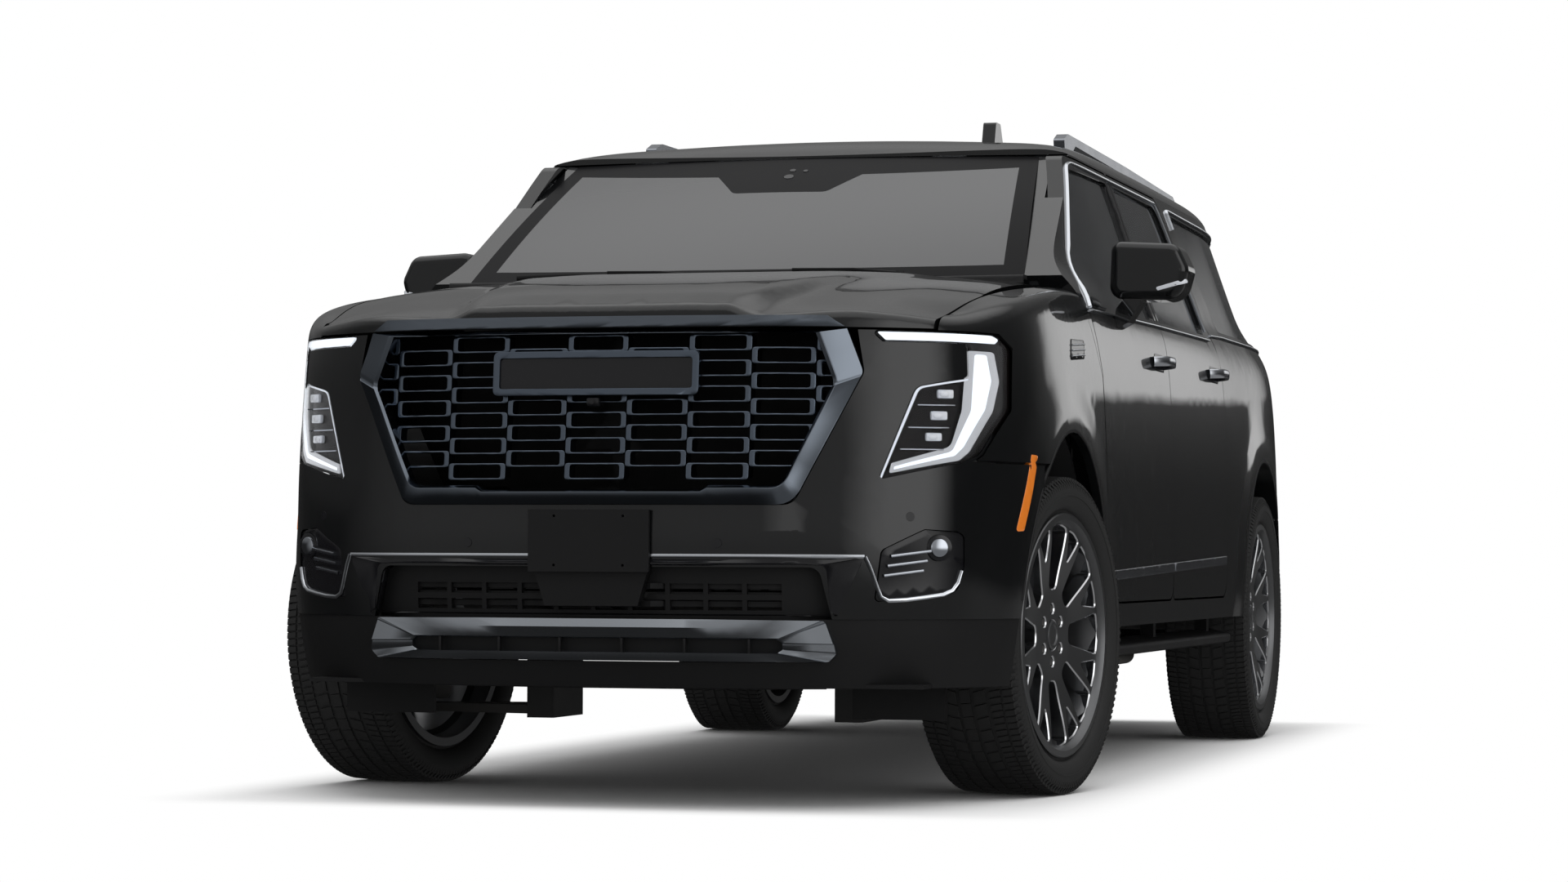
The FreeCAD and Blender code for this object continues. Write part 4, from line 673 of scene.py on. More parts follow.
def grilleFrame():
    f = frameSize
    return bandMesh(frameSkin, wholeOutline(f["outer"]), wholeOutline(f["inner"]), f["profile"], f["depth"])


def hoodBar():
    return plateMesh(barSkin, frameSize["hoodBar"], -0.5, 10, step=0.06, bevel=3)


def plaqueFrame():
    return plateMesh(frameSkin, frameSize["plaqueOuter"], -1, 18, holes=[frameSize["plaqueHole"]], step=0.05,
                     bevel=3.5)


def plaqueFace():
    return plateMesh(frameSkin, frameSize["plaqueFace"], -7, 10, step=0.06)


finishPiece("grilleFrameShell", grilleFrame(), "frameSteel", "vehicle_body", replaces=("grille_frame",))
finishPiece("hoodBarShell", hoodBar(), "frameSteel", "hood", replaces=("hood_bar",))
finishPiece("plaqueFrame", plaqueFrame(), "darkChrome", "vehicle_body")
finishPiece("plaqueFace", plaqueFace(), "glossBlack", "vehicle_body")
print("grille frame built")


def grilleBack():
    bm = fillOutline([flat(mirrored(frameSize["opening"]))], 0.12)
    for v in bm.verts:
        v.co = Vector((v.co.x, -2.655 + abs(v.co.x) * 0.12, v.co.y))
    bmesh.ops.solidify(bm, geom=bm.faces[:], thickness=0.003)
    return bm


finishPiece("grilleBack", grilleBack(), "mattePlastic", "vehicle_body")


grilleCamera = {"low": (-17, -2846, 992), "high": (17, -2806, 1013), "eye": (0, -2.847, 1.0025)}


def cameraBump():
    bm = boxMesh(grilleCamera["low"], grilleCamera["high"], 5)
    eye = bmesh.ops.create_cone(bm, cap_ends=True, segments=24, radius1=0.007, radius2=0.006, depth=0.006)
    place = Matrix.Translation(grilleCamera["eye"]) @ Matrix.Rotation(math.pi / 2, 4, "X")
    bmesh.ops.transform(bm, matrix=place, verts=eye["verts"])
    return bm


finishPiece("grilleCamera", cameraBump(), "glossBlack", "vehicle_body")

fogSize = {
    "outline": [(692, 514, 10), (864, 534, 30), (878, 600, 40), (878, 684, 20), (800, 690, 10),
                (708, 639, 20)],
    "lampX": 829, "lampZ": 646,
    "vents": [(770, 628), (762, 604), (754, 580)],
    "accent": [(672, 624), (682, 600), (690, 575), (698, 548), (706, 526), (722, 516), (760, 518),
               (800, 524), (838, 531), (856, 541), (867, 560), (874, 590)],
}


def fogBezel():
    return plateMesh(fogSkin, fogSize["outline"], -2, 22, step=0.03, bevel=2)


def fogAccent():
    path = [fogSkin.point(x / 1000, z / 1000, 0.003) for x, z in fogSize["accent"]]
    return tubeMesh(path, roundProfile(10, 7, 0.6, 6), up=Vector((0, -1, 0)))


def fogRound(radius, depth, lift):
    bm = bmesh.new()
    bmesh.ops.create_cone(bm, cap_ends=True, segments=36, radius1=radius, radius2=radius, depth=depth)
    edges = [e for e in bm.edges if e.calc_face_angle(0) > 1]
    bmesh.ops.bevel(bm, geom=edges, offset=min(depth, radius) * 0.2, segments=2, profile=0.5, affect="EDGES",
                    material=-1)
    x, z = fogSize["lampX"] / 1000, fogSize["lampZ"] / 1000
    y = fogSkin.at(x, z) - lift
    place = Matrix.Translation((x, y, z)) @ Matrix.Rotation(math.radians(28), 4, "Z")
    bmesh.ops.transform(bm, matrix=place @ Matrix.Rotation(math.pi / 2, 4, "X"), verts=bm.verts[:])
    return bm


def fogVents():
    bm = bmesh.new()
    for x, z in fogSize["vents"]:
        path = []
        for i in range(5):
            px = (x - 42 + 21 * i) / 1000
            pz = (z - 3 + 3.2 * i) / 1000
            path.append(fogSkin.point(px, pz, 0.003))
        tubeMesh(path, roundProfile(11, 9, 0.6, 6), bm=bm)
    return bm


bothSides("fogBezel", fogBezel, "glossBlack", "vehicle_body", replaces=("fog_lamps",))
bothSides("fogAccent", fogAccent, "chrome", "vehicle_body")
bothSides("fogRing", lambda: fogRound(0.033, 0.016, 0.002), "glossBlack", "vehicle_body")
bothSides("fogLamp", lambda: fogRound(0.023, 0.02, 0.005), "lensChrome", "vehicle_body")
bothSides("fogVents", fogVents, "satinSilver", "vehicle_body")
print("fog lamps built")


noseTrim = {
    "lineHeight": 624,
    "lineStep": 33.5,
    "lineWide": 9,
    "lineTall": 5,
    "sensors": ((323, 655, 6), (-323, 655, -6), (769, 722, 28), (-769, 722, -28)),
}


def noseLine():
    t = noseTrim
    path = [noseSkin.point(i * t["lineStep"] / 1000, t["lineHeight"] / 1000, 0.001) for i in range(-20, 21)]
    return tubeMesh(path, roundProfile(t["lineWide"], t["lineTall"], 0.5, 6), up=Vector((0, -1, 0)))


finishPiece("noseChromeLine", noseLine(), "chrome", "vehicle_body")


def sensors():
    # parking sensors, each turned to face out of the skin by its lean in degrees
    bm = bmesh.new()
    for x, z, lean in noseTrim["sensors"]:
        made = bmesh.ops.create_cone(bm, cap_ends=True, segments=24, radius1=0.012, radius2=0.011,
                                     depth=0.004)
        y = noseSkin.at(x / 1000, z / 1000)
        place = Matrix.Translation((x / 1000, y, z / 1000)) @ Matrix.Rotation(math.radians(lean), 4, "Z")
        bmesh.ops.transform(bm, matrix=place @ Matrix.Rotation(math.pi / 2, 4, "X"), verts=made["verts"])
    return bm


finishPiece("parkingSensors", sensors(), "glossBlack", "vehicle_body")


bladeSize = {
    "outer": [(300, 366), (586, 366, 12), (605, 385, 10), (600, 410, 20), (580, 467, 10), (300, 469)],
    "inner": [(300, 388), (468, 388, 6), (480, 396, 4), (480, 412, 4), (468, 421, 6), (300, 421)],
    "profile": [(0.0, -26, -20, -20), (0.0, -12, 1, 0), (0.42, 2, 2, 2), (0.94, 2, 2, 2), (1.0, -3, -2, -3),
                (1.0, -22, -20, -22)],
    "depth": 26,
    "back": [(-486, 384, 8), (486, 384, 8), (486, 425, 8), (-486, 425, 8)],
    "fins": (-400, -240, -80, 80, 240, 400),
}


def bladeShell():
    b = bladeSize
    return bandMesh(bladeSkin, wholeOutline(b["outer"]), wholeOutline(b["inner"]), b["profile"], b["depth"])


def bladeBack():
    return plateMesh(bladeSkin, bladeSize["back"], -22, 4, step=0.06)


def bladeFins():
    bm = bmesh.new()
    for x in bladeSize["fins"]:
        y = bladeSkin.steady(x / 1000, 0.445) * 1000
        boxMesh((x - 3, y + 4, 387), (x + 3, y + 22, 422), 1, bm)
    return bm


finishPiece("bladeShell", bladeShell(), "bladeSilver", "vehicle_body", replaces=("bumper_blade",))
finishPiece("bladeFins", bladeFins(), "mattePlastic", "vehicle_body")
finishPiece("bladeBack", bladeBack(), "mattePlastic", "vehicle_body")

intakeSize = {
    "lipOuter": [(300, 478), (608, 478, 8), (668, 618, 10), (300, 618)],
    "lipInner": [(300, 482), (592, 482, 8), (562, 600, 16), (300, 600)],
    "lipProfile": [(0.0, -16, -16, -16), (0.0, -3, 1, 2), (0.6, 9, 4, 4), (0.8, 9, 2, 3), (1.0, 0, -12, -9),
                   (1.0, -22, -30, -22)],
    "lipDepth": 34,
    "bars": 5, "lowestBar": 484, "barPitch": 22, "bracketHalf": 4,
}


def scoopBand():
    s = intakeSize
    return bandMesh(noseSkin, wholeOutline(s["lipOuter"]), wholeOutline(s["lipInner"]), s["lipProfile"],
                    s["lipDepth"])


finishPiece("scoopBand", scoopBand(), "glossBlack", "vehicle_body")


def intakeMesh():
    bm = bmesh.new()
    skin = Skin("nose", "lower_grille")
    for row in range(intakeSize["bars"]):
        z = intakeSize["lowestBar"] + row * intakeSize["barPitch"]
        path = []
        for i in range(-18, 19):
            behindBracket = abs(i) <= intakeSize["bracketHalf"]
            path.append(skin.point(i * 0.03, z / 1000, -0.03 if behindBracket else -0.012))
        tubeMesh(path, roundProfile(4, 16, 0.5, 4), bm=bm)
    return bm


finishPiece("intakeBars", intakeMesh(), "mattePlastic", "vehicle_body")
print("lower nose built")


# wheels: each is built with its outer face to +X, then put on its axle
steerRest = math.radians(9)
wheelSpots = {
    "front_left": (0.8, -1.85, -steerRest, 0.0675),
    "front_right": (-0.8, -1.85, math.pi - steerRest, 0.0675),
    "rear_left": (0.8, 1.557, 0.0, 0.0675),
    "rear_right": (-0.8, 1.557, math.pi, 0.0675),
}


def wheelPlace(label):
    x, y, turn, reach = wheelSpots[label]
    middle = Vector((x + math.cos(turn) * reach, y + math.sin(turn) * reach, 0.419))
    return Matrix.Translation(middle) @ Matrix.Rotation(turn, 4, "Z")


def spun(profile, steps):
    # a closed profile of (x, radius) millimetres turned about X
    bm = bmesh.new()
    verts = [bm.verts.new((x / 1000, 0, r / 1000)) for x, r in profile]
    edges = [bm.edges.new((verts[i], verts[i + 1])) for i in range(len(verts) - 1)]
    edges.append(bm.edges.new((verts[-1], verts[0])))
    bmesh.ops.spin(bm, geom=verts + edges, cent=(0, 0, 0), axis=(1, 0, 0), angle=2 * math.pi, steps=steps,
                   use_merge=True)
    bmesh.ops.recalc_face_normals(bm, faces=bm.faces[:])
    return bm


tyreSize = {"radius": 0.419, "grooveBottom": 411, "pitches": 68, "ribs": 170, "blockFoot": 0.409,
            "blockSlope": 0.0009, "spinSteps": 120}


def tyreBody():
    half = [(118.2, 306), (118.4, 329), (126, 333), (134, 342), (140, 356), (142.4, 372), (141.4, 388),
            (138, 397), (137, 401), (133.5, 403), (128, 409), (119, 412.5),
            (104, tyreSize["grooveBottom"] + 2.2), (60, tyreSize["grooveBottom"] + 3.6),
            (0, tyreSize["grooveBottom"] + 4)]
    inner = [(106, 306), (107, 330), (124, 352), (125, 378), (110, 398), (0, 403)]
    profile = half + [(-x, r) for x, r in reversed(half[:-1])]
    profile += [(-x, r) for x, r in inner[:-1]] + [inner[-1]] + [(x, r) for x, r in reversed(inner[:-1])]
    return spun(profile, tyreSize["spinSteps"])


def crownRadius(x):
    return tyreSize["radius"] - 0.0016 * (abs(x) / 0.1) ** 2.4


def treadBlock(bm, low, high, skew, wide, shift=0.0):
    # one tread block between two X places, in millimetres, its sides leaning along the skew
    made = bmesh.ops.create_cube(bm, size=1)["verts"]
    for v in made:
        top = v.co.z > 0
        x = (low + (high - low) * (v.co.x + 0.5)) / 1000
        y = v.co.y * wide / 1000 + (v.co.x * skew + shift) / 1000
        if top:
            x -= math.copysign(tyreSize["blockSlope"], v.co.x)
            y -= math.copysign(tyreSize["blockSlope"], v.co.y)
        radius = crownRadius(x) if top else tyreSize["blockFoot"]
        v.co = Vector((x, y, math.sqrt(max(radius ** 2 - y * y, 0.0001))))
    return made


def tyreTread():
    bm = bmesh.new()
    pitch = 2 * math.pi * tyreSize["radius"] * 1000 / tyreSize["pitches"]
    treadBlock(bm, -15, 15, 3, pitch - 0.6)
    for sign in (1, -1):
        treadBlock(bm, sign * 40 - 17, sign * 40 + 17, 9 * sign, pitch - 6)
        for part in (-0.25, 0.25):
            treadBlock(bm, sign * 82 - 16, sign * 82 + 16, 6 * sign, pitch / 2 - 4, part * pitch)
            treadBlock(bm, sign * 117 - 14, sign * 117 + 14, 3 * sign, pitch / 2 - 3.2, part * pitch + 3)
    return bm


def tyreShoulder(bm):
    # slanted ribs on the shoulder; the fine radial ribs on the upper sidewall are made in sidewallRibs
    for sign in (1, -1):
        made = bmesh.ops.create_cube(bm, size=1)["verts"]
        for v in made:
            inner = v.co.z < 0
            x = (138.6 if inner else 129.5) + (1.5 if v.co.x > 0 else -3)
            radius = (400 if inner else 411) + (0.6 if v.co.x > 0 else -2)
            v.co = Vector((sign * x / 1000, v.co.y * 0.0085, radius / 1000))
    return bm


def ringOf(bm, count):
    # copies of what the mesh holds, evenly turned about X
    source = bm.verts[:] + bm.edges[:] + bm.faces[:]
    for i in range(1, count):
        made = bmesh.ops.duplicate(bm, geom=source)["geom"]
        verts = [g for g in made if isinstance(g, bmesh.types.BMVert)]
        turn = Matrix.Rotation(2 * math.pi * i / count, 3, "X")
        bmesh.ops.rotate(bm, cent=(0, 0, 0), matrix=turn, verts=verts)
    return bm


def sidewallRibs():
    bm = bmesh.new()
    made = bmesh.ops.create_cube(bm, size=1)["verts"]
    for v in made:
        outer = v.co.z > 0
        x = (138.5 if outer else 141.6) + (0.9 if v.co.x > 0 else -1.2)
        v.co = Vector((x / 1000, v.co.y * 0.0026, (397 if outer else 386) / 1000))
    ringOf(bm, tyreSize["ribs"])
    mirror = bm.copy()
    bmesh.ops.transform(mirror, matrix=Matrix.Rotation(math.pi, 4, "Z"), verts=mirror.verts[:])
    return addMesh(bm, mirror)


def wholeTyre():
    bm = tyreBody()
    addMesh(bm, ringOf(tyreTread(), tyreSize["pitches"]))
    addMesh(bm, ringOf(tyreShoulder(bmesh.new()), tyreSize["pitches"] * 2))
    addMesh(bm, sidewallRibs())
    addMesh(bm, spun([(139.8, 366), (143.0, 367), (143.0, 371), (140, 372)], 96))
    return bm


rimSize = {
    "edge": 298, "windowOuter": 289, "windowInner": 122, "windowHalfOuter": 55, "windowHalfInner": 24,
    "forkOuter": 286, "forkInner": 203, "forkHalf": 39, "boltRadius": 69.85, "boltHole": 13,
    "centreHole": 39, "depth": 44, "faceHub": 92, "faceEdge": 112, "wallBevel": 3.2,
}


def faceHeight(radius):
    share = min(max((radius * 1000 - 105) / 190, 0), 1)
    rise = (rimSize["faceEdge"] - rimSize["faceHub"]) * share * share * (3 - 2 * share)
    return (rimSize["faceHub"] + rise) / 1000


def turned(points, angle):
    c, s = math.cos(angle), math.sin(angle)
    return [(x * c - y * s, x * s + y * c) + tuple(more) for x, y, *more in points]


def circleOf(radius, count, x=0.0, y=0.0):
    angles = [2 * math.pi * i / count for i in range(count)]
    return [(x + radius * math.cos(a), y + radius * math.sin(a)) for a in angles]


def rimFace():
    r = rimSize
    circle = circleOf(r["edge"], 96)
    centre = circleOf(r["centreHole"], 40)
    window = [(r["windowHalfInner"], r["windowInner"], 20), (r["windowHalfOuter"], r["windowOuter"] - 9, 14),
              (0, r["windowOuter"] + 3, 60), (-r["windowHalfOuter"], r["windowOuter"] - 9, 14),
              (-r["windowHalfInner"], r["windowInner"], 20)]
    fork = [(0, r["forkInner"], 7), (r["forkHalf"], r["forkOuter"] - 4, 8), (0, r["forkOuter"] + 2, 60),
            (-r["forkHalf"], r["forkOuter"] - 4, 8)]
    holes = [centre]
    for i in range(8):
        holes.append(turned(window, math.pi / 4 * i))
        holes.append(turned(fork, math.pi / 4 * (i + 0.5)))
    for i in range(6):
        turn = math.pi / 3 * i + math.pi / 6
        x, y = r["boltRadius"] * math.cos(turn), r["boltRadius"] * math.sin(turn)
        holes.append(circleOf(r["boltHole"], 16, x, y))
    bm = fillOutline([flat(circle)] + [flat(hole) for hole in holes], 0.03)
    for v in bm.verts:
        radius = math.hypot(v.co.x, v.co.y)
        v.co = Vector((faceHeight(radius), v.co.x, v.co.y))
    grown = bmesh.ops.extrude_face_region(bm, geom=bm.faces[:], use_keep_orig=True)
    back = [v for v in grown["geom"] if isinstance(v, bmesh.types.BMVert)]
    bmesh.ops.translate(bm, vec=(-r["depth"] / 1000, 0, 0), verts=back)
    bmesh.ops.recalc_face_normals(bm, faces=bm.faces[:])
    moved = set(back)
    for face in bm.faces:
        face.material_index = 1 if abs(face.normal.x) < 0.5 else 0
    rim = [e for e in bm.edges if not (set(e.verts) & moved) and len(e.link_faces) == 2
           and e.calc_face_angle(0) > 0.9]
    bmesh.ops.bevel(bm, geom=rim, offset=r["wallBevel"] / 1000, segments=1, profile=0.5, affect="EDGES",
                    material=1)
    return bm


def rimBarrel():
    profile = [(-128, 321), (-120, 322), (-119, 305), (-88, 303), (-70, 288), (50, 288), (70, 303),
               (119, 304.5), (120.5, 321), (126, 322), (129, 319), (130, 304), (124, 299), (112, 292),
               (60, 278), (-66, 278), (-80, 292), (-128, 298)]
    return spun(profile, 96)


def rimHub():
    profile = [(-5, 33), (60, 33), (60, 38), (70, 96), (46, 112), (-2, 100), (-2, 195), (-12, 196),
               (-12, 172), (-20, 172), (-20, 196), (-30, 195), (-30, 100), (-44, 92), (-60, 60), (-60, 33)]
    return spun(profile, 72)


def rimCap():
    profile = [(80, 0.1), (93, 0.1), (93, 24), (96.5, 28), (96.5, 34), (94, 38), (84, 38.6), (80, 38)]
    return spun(profile, 48)


def rimNuts():
    bm = bmesh.new()
    bmesh.ops.create_cone(bm, cap_ends=True, segments=6, radius1=0.0105, radius2=0.0105, depth=0.03)
    edges = [e for e in bm.edges if e.calc_face_angle(0) > 1.2 and min(v.co.z for v in e.verts) > 0]
    bmesh.ops.bevel(bm, geom=edges, offset=0.0022, segments=2, profile=0.5, affect="EDGES", material=-1)
    turn = math.pi / 6
    radius = rimSize["boltRadius"] / 1000
    place = Matrix.Translation((0.074, radius * math.cos(turn), radius * math.sin(turn)))
    bmesh.ops.transform(bm, matrix=place @ Matrix.Rotation(math.pi / 2, 4, "Y"), verts=bm.verts[:])
    return ringOf(bm, 6)


def calliper():
    # on the knuckle or axle, behind the disc's rear edge, in the wheel's own frame
    bm = boxMesh((-52, 116, -75), (-34, 228, 75), 8)
    boxMesh((2, 120, -70), (22, 226, 70), 8, bm)
    boxMesh((-50, 200, -70), (20, 232, 70), 7, bm)
    return bm


def placeWheels():
    tyre = wholeTyre()
    face = rimFace()
    inner = addMesh(rimBarrel(), rimHub())
    cap = rimCap()
    nuts = rimNuts()
    clamp = calliper()
    for label in wheelSpots:
        wheel = "wheel_" + label
        place = wheelPlace(label)
        holder = "vehicle_body" if label.startswith("rear") else "knuckle_" + label.split("_")[1]
        for name, source, material, body, node in (
                ("tyreShell", tyre, "rubber", wheel, "tyre_" + label),
                ("rimFace", face, ["rimDark", "machined"], wheel, "rim_" + label),
                ("rimBarrel", inner, "rimDark", wheel, None),
                ("rimCap", cap, "rimDark", wheel, None),
                ("wheelNuts", nuts, "bareSteel", wheel, None),
                ("brakeCalliper", clamp, "castIron", holder, None)):
            copy = source.copy()
            bmesh.ops.transform(copy, matrix=place, verts=copy.verts[:])
            finishPiece(name + label.title().replace("_", ""), copy, material, body,
                        replaces=(node,) if node else (), sharp=32)
    for source in (tyre, face, inner, cap, nuts, clamp):
        source.free()


placeWheels()
print("wheels built")


archShadeWall = {"reach": 478, "halfThick": 3, "low": 480, "high": 930, "spans": ((-2420, -1260), (960, 2160))}


def archShade():
    # dark plates inside the wheelhouses: they stand for the inner walls and for the shade in there, painted
    # as dark sheets that close the view across under the body
    w = archShadeWall
    bm = bmesh.new()
    for side in (1, -1):
        for front, back in w["spans"]:
            middle = side * w["reach"]
            low = (middle - w["halfThick"], front, w["low"])
            high = (middle + w["halfThick"], back, w["high"])
            boxMesh(low, high, 2, bm)
    return bm


finishPiece("archShade", archShade(), "mattePlastic", "vehicle_body")


# the sides: window surround, handles, sill strips, vents, markers and mirrors
sideSkin = Skin("side", "front_door_left", "rear_door_left", "body_side_left", "front_fender_left",
                "front_door_glass_left", "rear_door_glass_left", "quarter_glass", "rear_bumper",
                "front_bumper")


def openPath(points, step=0.04):
    # points of an open line in metres, its corners rounded
    made = [Vector(points[0][:2]) / 1000]
    for i in range(1, len(points) - 1):
        here = Vector(points[i][:2]) / 1000
        back = (Vector(points[i - 1][:2]) / 1000 - here)
        ahead = (Vector(points[i + 1][:2]) / 1000 - here)
        reach = min((points[i][2] if len(points[i]) > 2 else 2) / 1000, 0.45 * back.length,
                    0.45 * ahead.length)
        a, b = here + back.normalized() * reach, here + ahead.normalized() * reach
        for t in (0, 0.2, 0.4, 0.6, 0.8, 1):
            made.append((1 - t) ** 2 * a + 2 * t * (1 - t) * here + t * t * b)
    made.append(Vector(points[-1][:2]) / 1000)
    dense = [made[0]]
    for p in made[1:]:
        count = max(1, int((p - dense[-1]).length / step))
        start = dense[-1]
        for i in range(1, count + 1):
            dense.append(start.lerp(p, i / count))
    return [p for i, p in enumerate(dense) if i == 0 or (p - dense[i - 1]).length > 0.0004]


def stripMesh(points, wide, tall, lift):
    path = [sideSkin.point(p.x, p.y, lift / 1000) for p in openPath(points)]
    return tubeMesh(path, roundProfile(wide, tall, 0.5, 6), up=Vector((1, 0, 0)))


def sidePlate(outer, lift, depth, holes=(), step=0.03, bevel=0.0):
    return plateMesh(sideSkin, outer, lift, depth, holes, step, bevel)


surround = {
    "front": [[(-1424, 1305), (-299, 1322)],
              [(-1424, 1313), (-929, 1757, 60), (-880, 1769, 60), (-299, 1769)]],
    "rear": [[(-291, 1322), (640, 1331)], [(-291, 1769), (490, 1768, 30), (628, 1358)]],
    "quarter": [[(712, 1350), (960, 1358, 40), (2330, 1368, 40), (2150, 1756, 60), (708, 1766, 20),
                 (712, 1700)]],
}


def surroundMesh(part):
    def build():
        bm = bmesh.new()
        for line in surround[part]:
            addMesh(bm, stripMesh(line, 7, 13, 1.5))
        return bm
    return build


bothSides("windowTrimFront", surroundMesh("front"), "chrome", ("front_door_left", "front_door_right"))
bothSides("windowTrimRear", surroundMesh("rear"), "chrome", ("rear_door_left", "rear_door_right"))
bothSides("windowTrimQuarter", surroundMesh("quarter"), "chrome", "vehicle_body")

pillarPlates = {
    "front": [(-349, 1338), (-299, 1339), (-299, 1760), (-358, 1758)],
    "rear": [(-291, 1340), (-248, 1341), (-258, 1760), (-291, 1760)],
}
bothSides("pillarPlateFront", lambda: sidePlate(pillarPlates["front"], 1.2, 3, bevel=0.8), "glossBlack",
          ("front_door_left", "front_door_right"))
bothSides("pillarPlateRear", lambda: sidePlate(pillarPlates["rear"], 1.2, 3, bevel=0.8), "glossBlack",
          ("rear_door_left", "rear_door_right"))

handleSize = {"places": {"front": (-452, 1204), "rear": (570, 1214)}, "half": 112, "out": 34}


def handleMesh(part):
    def build():
        y, z = handleSize["places"][part]
        half = handleSize["half"]
        path = []
        for i in range(13):
            t = -1 + i / 6
            lift = handleSize["out"] * (1 - abs(t) ** 5) + 2
            base = sideSkin.point((y + t * half) / 1000, (z + 4 * (1 - t * t)) / 1000)
            path.append(base + Vector((lift / 1000, 0, 0)))
        return tubeMesh(path, roundProfile(30, 15, 0.6, 8), up=Vector((1, 0, 0.02)))
    return build


def handleCup(part):
    def build():
        y, z = handleSize["places"][part]
        outline = [(y - 78, z - 26, 24), (y + 78, z - 26, 24), (y + 78, z + 27, 24), (y - 78, z + 27, 24)]
        return sidePlate(outline, 0.6, 2.5, step=0.02, bevel=0.6)
    return build


for part in ("front", "rear"):
    bodies = (part + "_door_left", part + "_door_right")
    bothSides("doorHandle" + part.title(), handleMesh(part), "chrome", bodies)
    bothSides("handleCup" + part.title(), handleCup(part), "glossBlack", bodies)

sillStrips = {"front": (-1368, -302), "rear": (-288, 690)}


def sillMesh(part):
    def build():
        first, last = sillStrips[part]
        low = lambda y: 572 + (y + 1368) * 0.0215
        outline = [(first, low(first) - 13, 4), (last, low(last) - 13, 4), (last, low(last) + 13, 4),
                   (first, low(first) + 13, 4)]
        return sidePlate(outline, 4, 8, step=0.05, bevel=2)
    return build


for part in ("front", "rear"):
    bothSides("sillStrip" + part.title(), sillMesh(part), "satinSilver",
              (part + "_door_left", part + "_door_right"))

ventOutline = [(-1829, 1146, 10), (-1640, 1158, 10), (-1620, 1210, 10), (-1800, 1204, 10)]


def ventMesh():
    return sidePlate(ventOutline, 1.5, 8, step=0.03, bevel=1.5)


def ventRibs():
    bm = bmesh.new()
    for i in range(3):
        z = 1160 + i * 15
        points = [(-1812 + i * 6, z - 2), (-1640 + i * 6, z + 9)]
        addMesh(bm, stripMesh(points, 5, 5, 2.5))
    return bm


bothSides("fenderVent", ventMesh, "glossBlack", "vehicle_body")
bothSides("fenderVentRibs", ventRibs, "chrome", "vehicle_body")

markerOutline = [(-2292, 884, 6), (-2256, 882, 6), (-2352, 690, 10), (-2388, 688, 8)]
bothSides("sideMarker", lambda: sidePlate(markerOutline, 1.2, 5, step=0.02, bevel=1), "amber", "vehicle_body")


def fuelDoor():
    outer = [(1905, 1085, 30), (2085, 1085, 30), (2085, 1250, 30), (1905, 1250, 30)]
    hole = [(1908, 1088, 27), (2082, 1088, 27), (2082, 1247, 27), (1908, 1247, 27)]
    return sidePlate(outer, 0.25, 1, holes=[hole], step=0.04)


finishPiece("fuelDoorLine", flipX(fuelDoor()), "mattePlastic", "vehicle_body")


archSize = {"front": -1880, "rear": 1547, "axleHeight": 419, "half": 481, "high": 540, "lowest": 470}


def archLip(place):
    # a dark lip round a wheel arch
    a = archSize
    path = []
    for i in range(41):
        turn = math.radians(-4 + 188 * i / 40)
        y = a[place] + a["half"] * math.cos(turn)
        z = a["axleHeight"] + a["high"] * math.sin(turn)
        if z < a["lowest"]:
            continue
        path.append(sideSkin.point(y / 1000, z / 1000, -0.004))
    return tubeMesh(path, roundProfile(10, 12, 0.6, 6), up=Vector((1, 0, 0)))


bothSides("archLipFront", lambda: archLip("front"), "mattePlastic", "vehicle_body")
bothSides("archLipRear", lambda: archLip("rear"), "mattePlastic", "vehicle_body")
print("side trim built")


mirrorSize = {
    "signal": [(1096, 1378, 6), (1180, 1400, 6), (1178, 1412, 5), (1092, 1388, 6)],
    "glass": [(972, 1374, 24), (1150, 1370, 40), (1166, 1438, 30), (1140, 1494, 24), (980, 1502, 20)],
}


def mirrorSignal():
    return plateMesh(Skin("nose", "mirror_left"), mirrorSize["signal"], 1.2, 6, step=0.02, bevel=1)


def mirrorGlass():
    return plateMesh(Skin("tail", "mirror_left"), mirrorSize["glass"], 0.8, 2.5, step=0.03, bevel=0.6)


bothSides("mirrorSignal", mirrorSignal, "clearTrim", ("front_door_left", "front_door_right"))
bothSides("mirrorGlass", mirrorGlass, "lensChrome", ("front_door_left", "front_door_right"))
print("mirrors built")


# the windshield, wipers and rear
shieldSkin = Skin("top", "windshield")


def shieldLine(across, up):
    # a point of the windshield's plan between its edges, across and up from 0 to 1
    low = Vector((760 - 20 * abs(across) ** 2, -1490 - 90 * (1 - across * across)))
    high = Vector((672, -905 - 95 * (1 - across * across)))
    mix = low.lerp(high, up)
    return (mix.x * across, mix.y)


def shieldView():
    # the middle of the windshield: glass that lets little light through, its grey base colour a painted
    # reflection of the bright sky, with the dark sensor cover reaching into its upper edge
    low = [shieldLine(a / 12, 0.012) for a in range(-12, 13)]
    high = [shieldLine(a / 12 * 0.985, 0.955) for a in range(12, 3, -1)]
    cover = [(-218, high[-1][1], 16), (-139, high[-1][1] - 120, 30), (139, high[-1][1] - 120, 30),
             (218, high[-1][1], 16)]
    outline = low + high + list(reversed(cover)) + [(-x, y) for x, y in reversed(high)]
    return plateMesh(shieldSkin, outline, 0.6, 0.8, step=0.05)


def sensorLens():
    bm = bmesh.new()
    for x, y, radius in ((0, -1030, 0.016), (0, -985, 0.01), (40, -990, 0.008)):
        eye = bmesh.ops.create_cone(bm, cap_ends=True, segments=24, radius1=radius, radius2=radius * 0.9,
                                    depth=0.002)
        spot = shieldSkin.point(x / 1000, y / 1000, 0.001)
        place = Matrix.Translation(spot) @ Matrix.Rotation(math.radians(29), 4, "X")
        bmesh.ops.transform(bm, matrix=place, verts=eye["verts"])
    return bm


finishPiece("shieldView", shieldView(), "shieldGlass", "vehicle_body")
finishPiece("sensorLens", sensorLens(), "glossBlack", "vehicle_body")


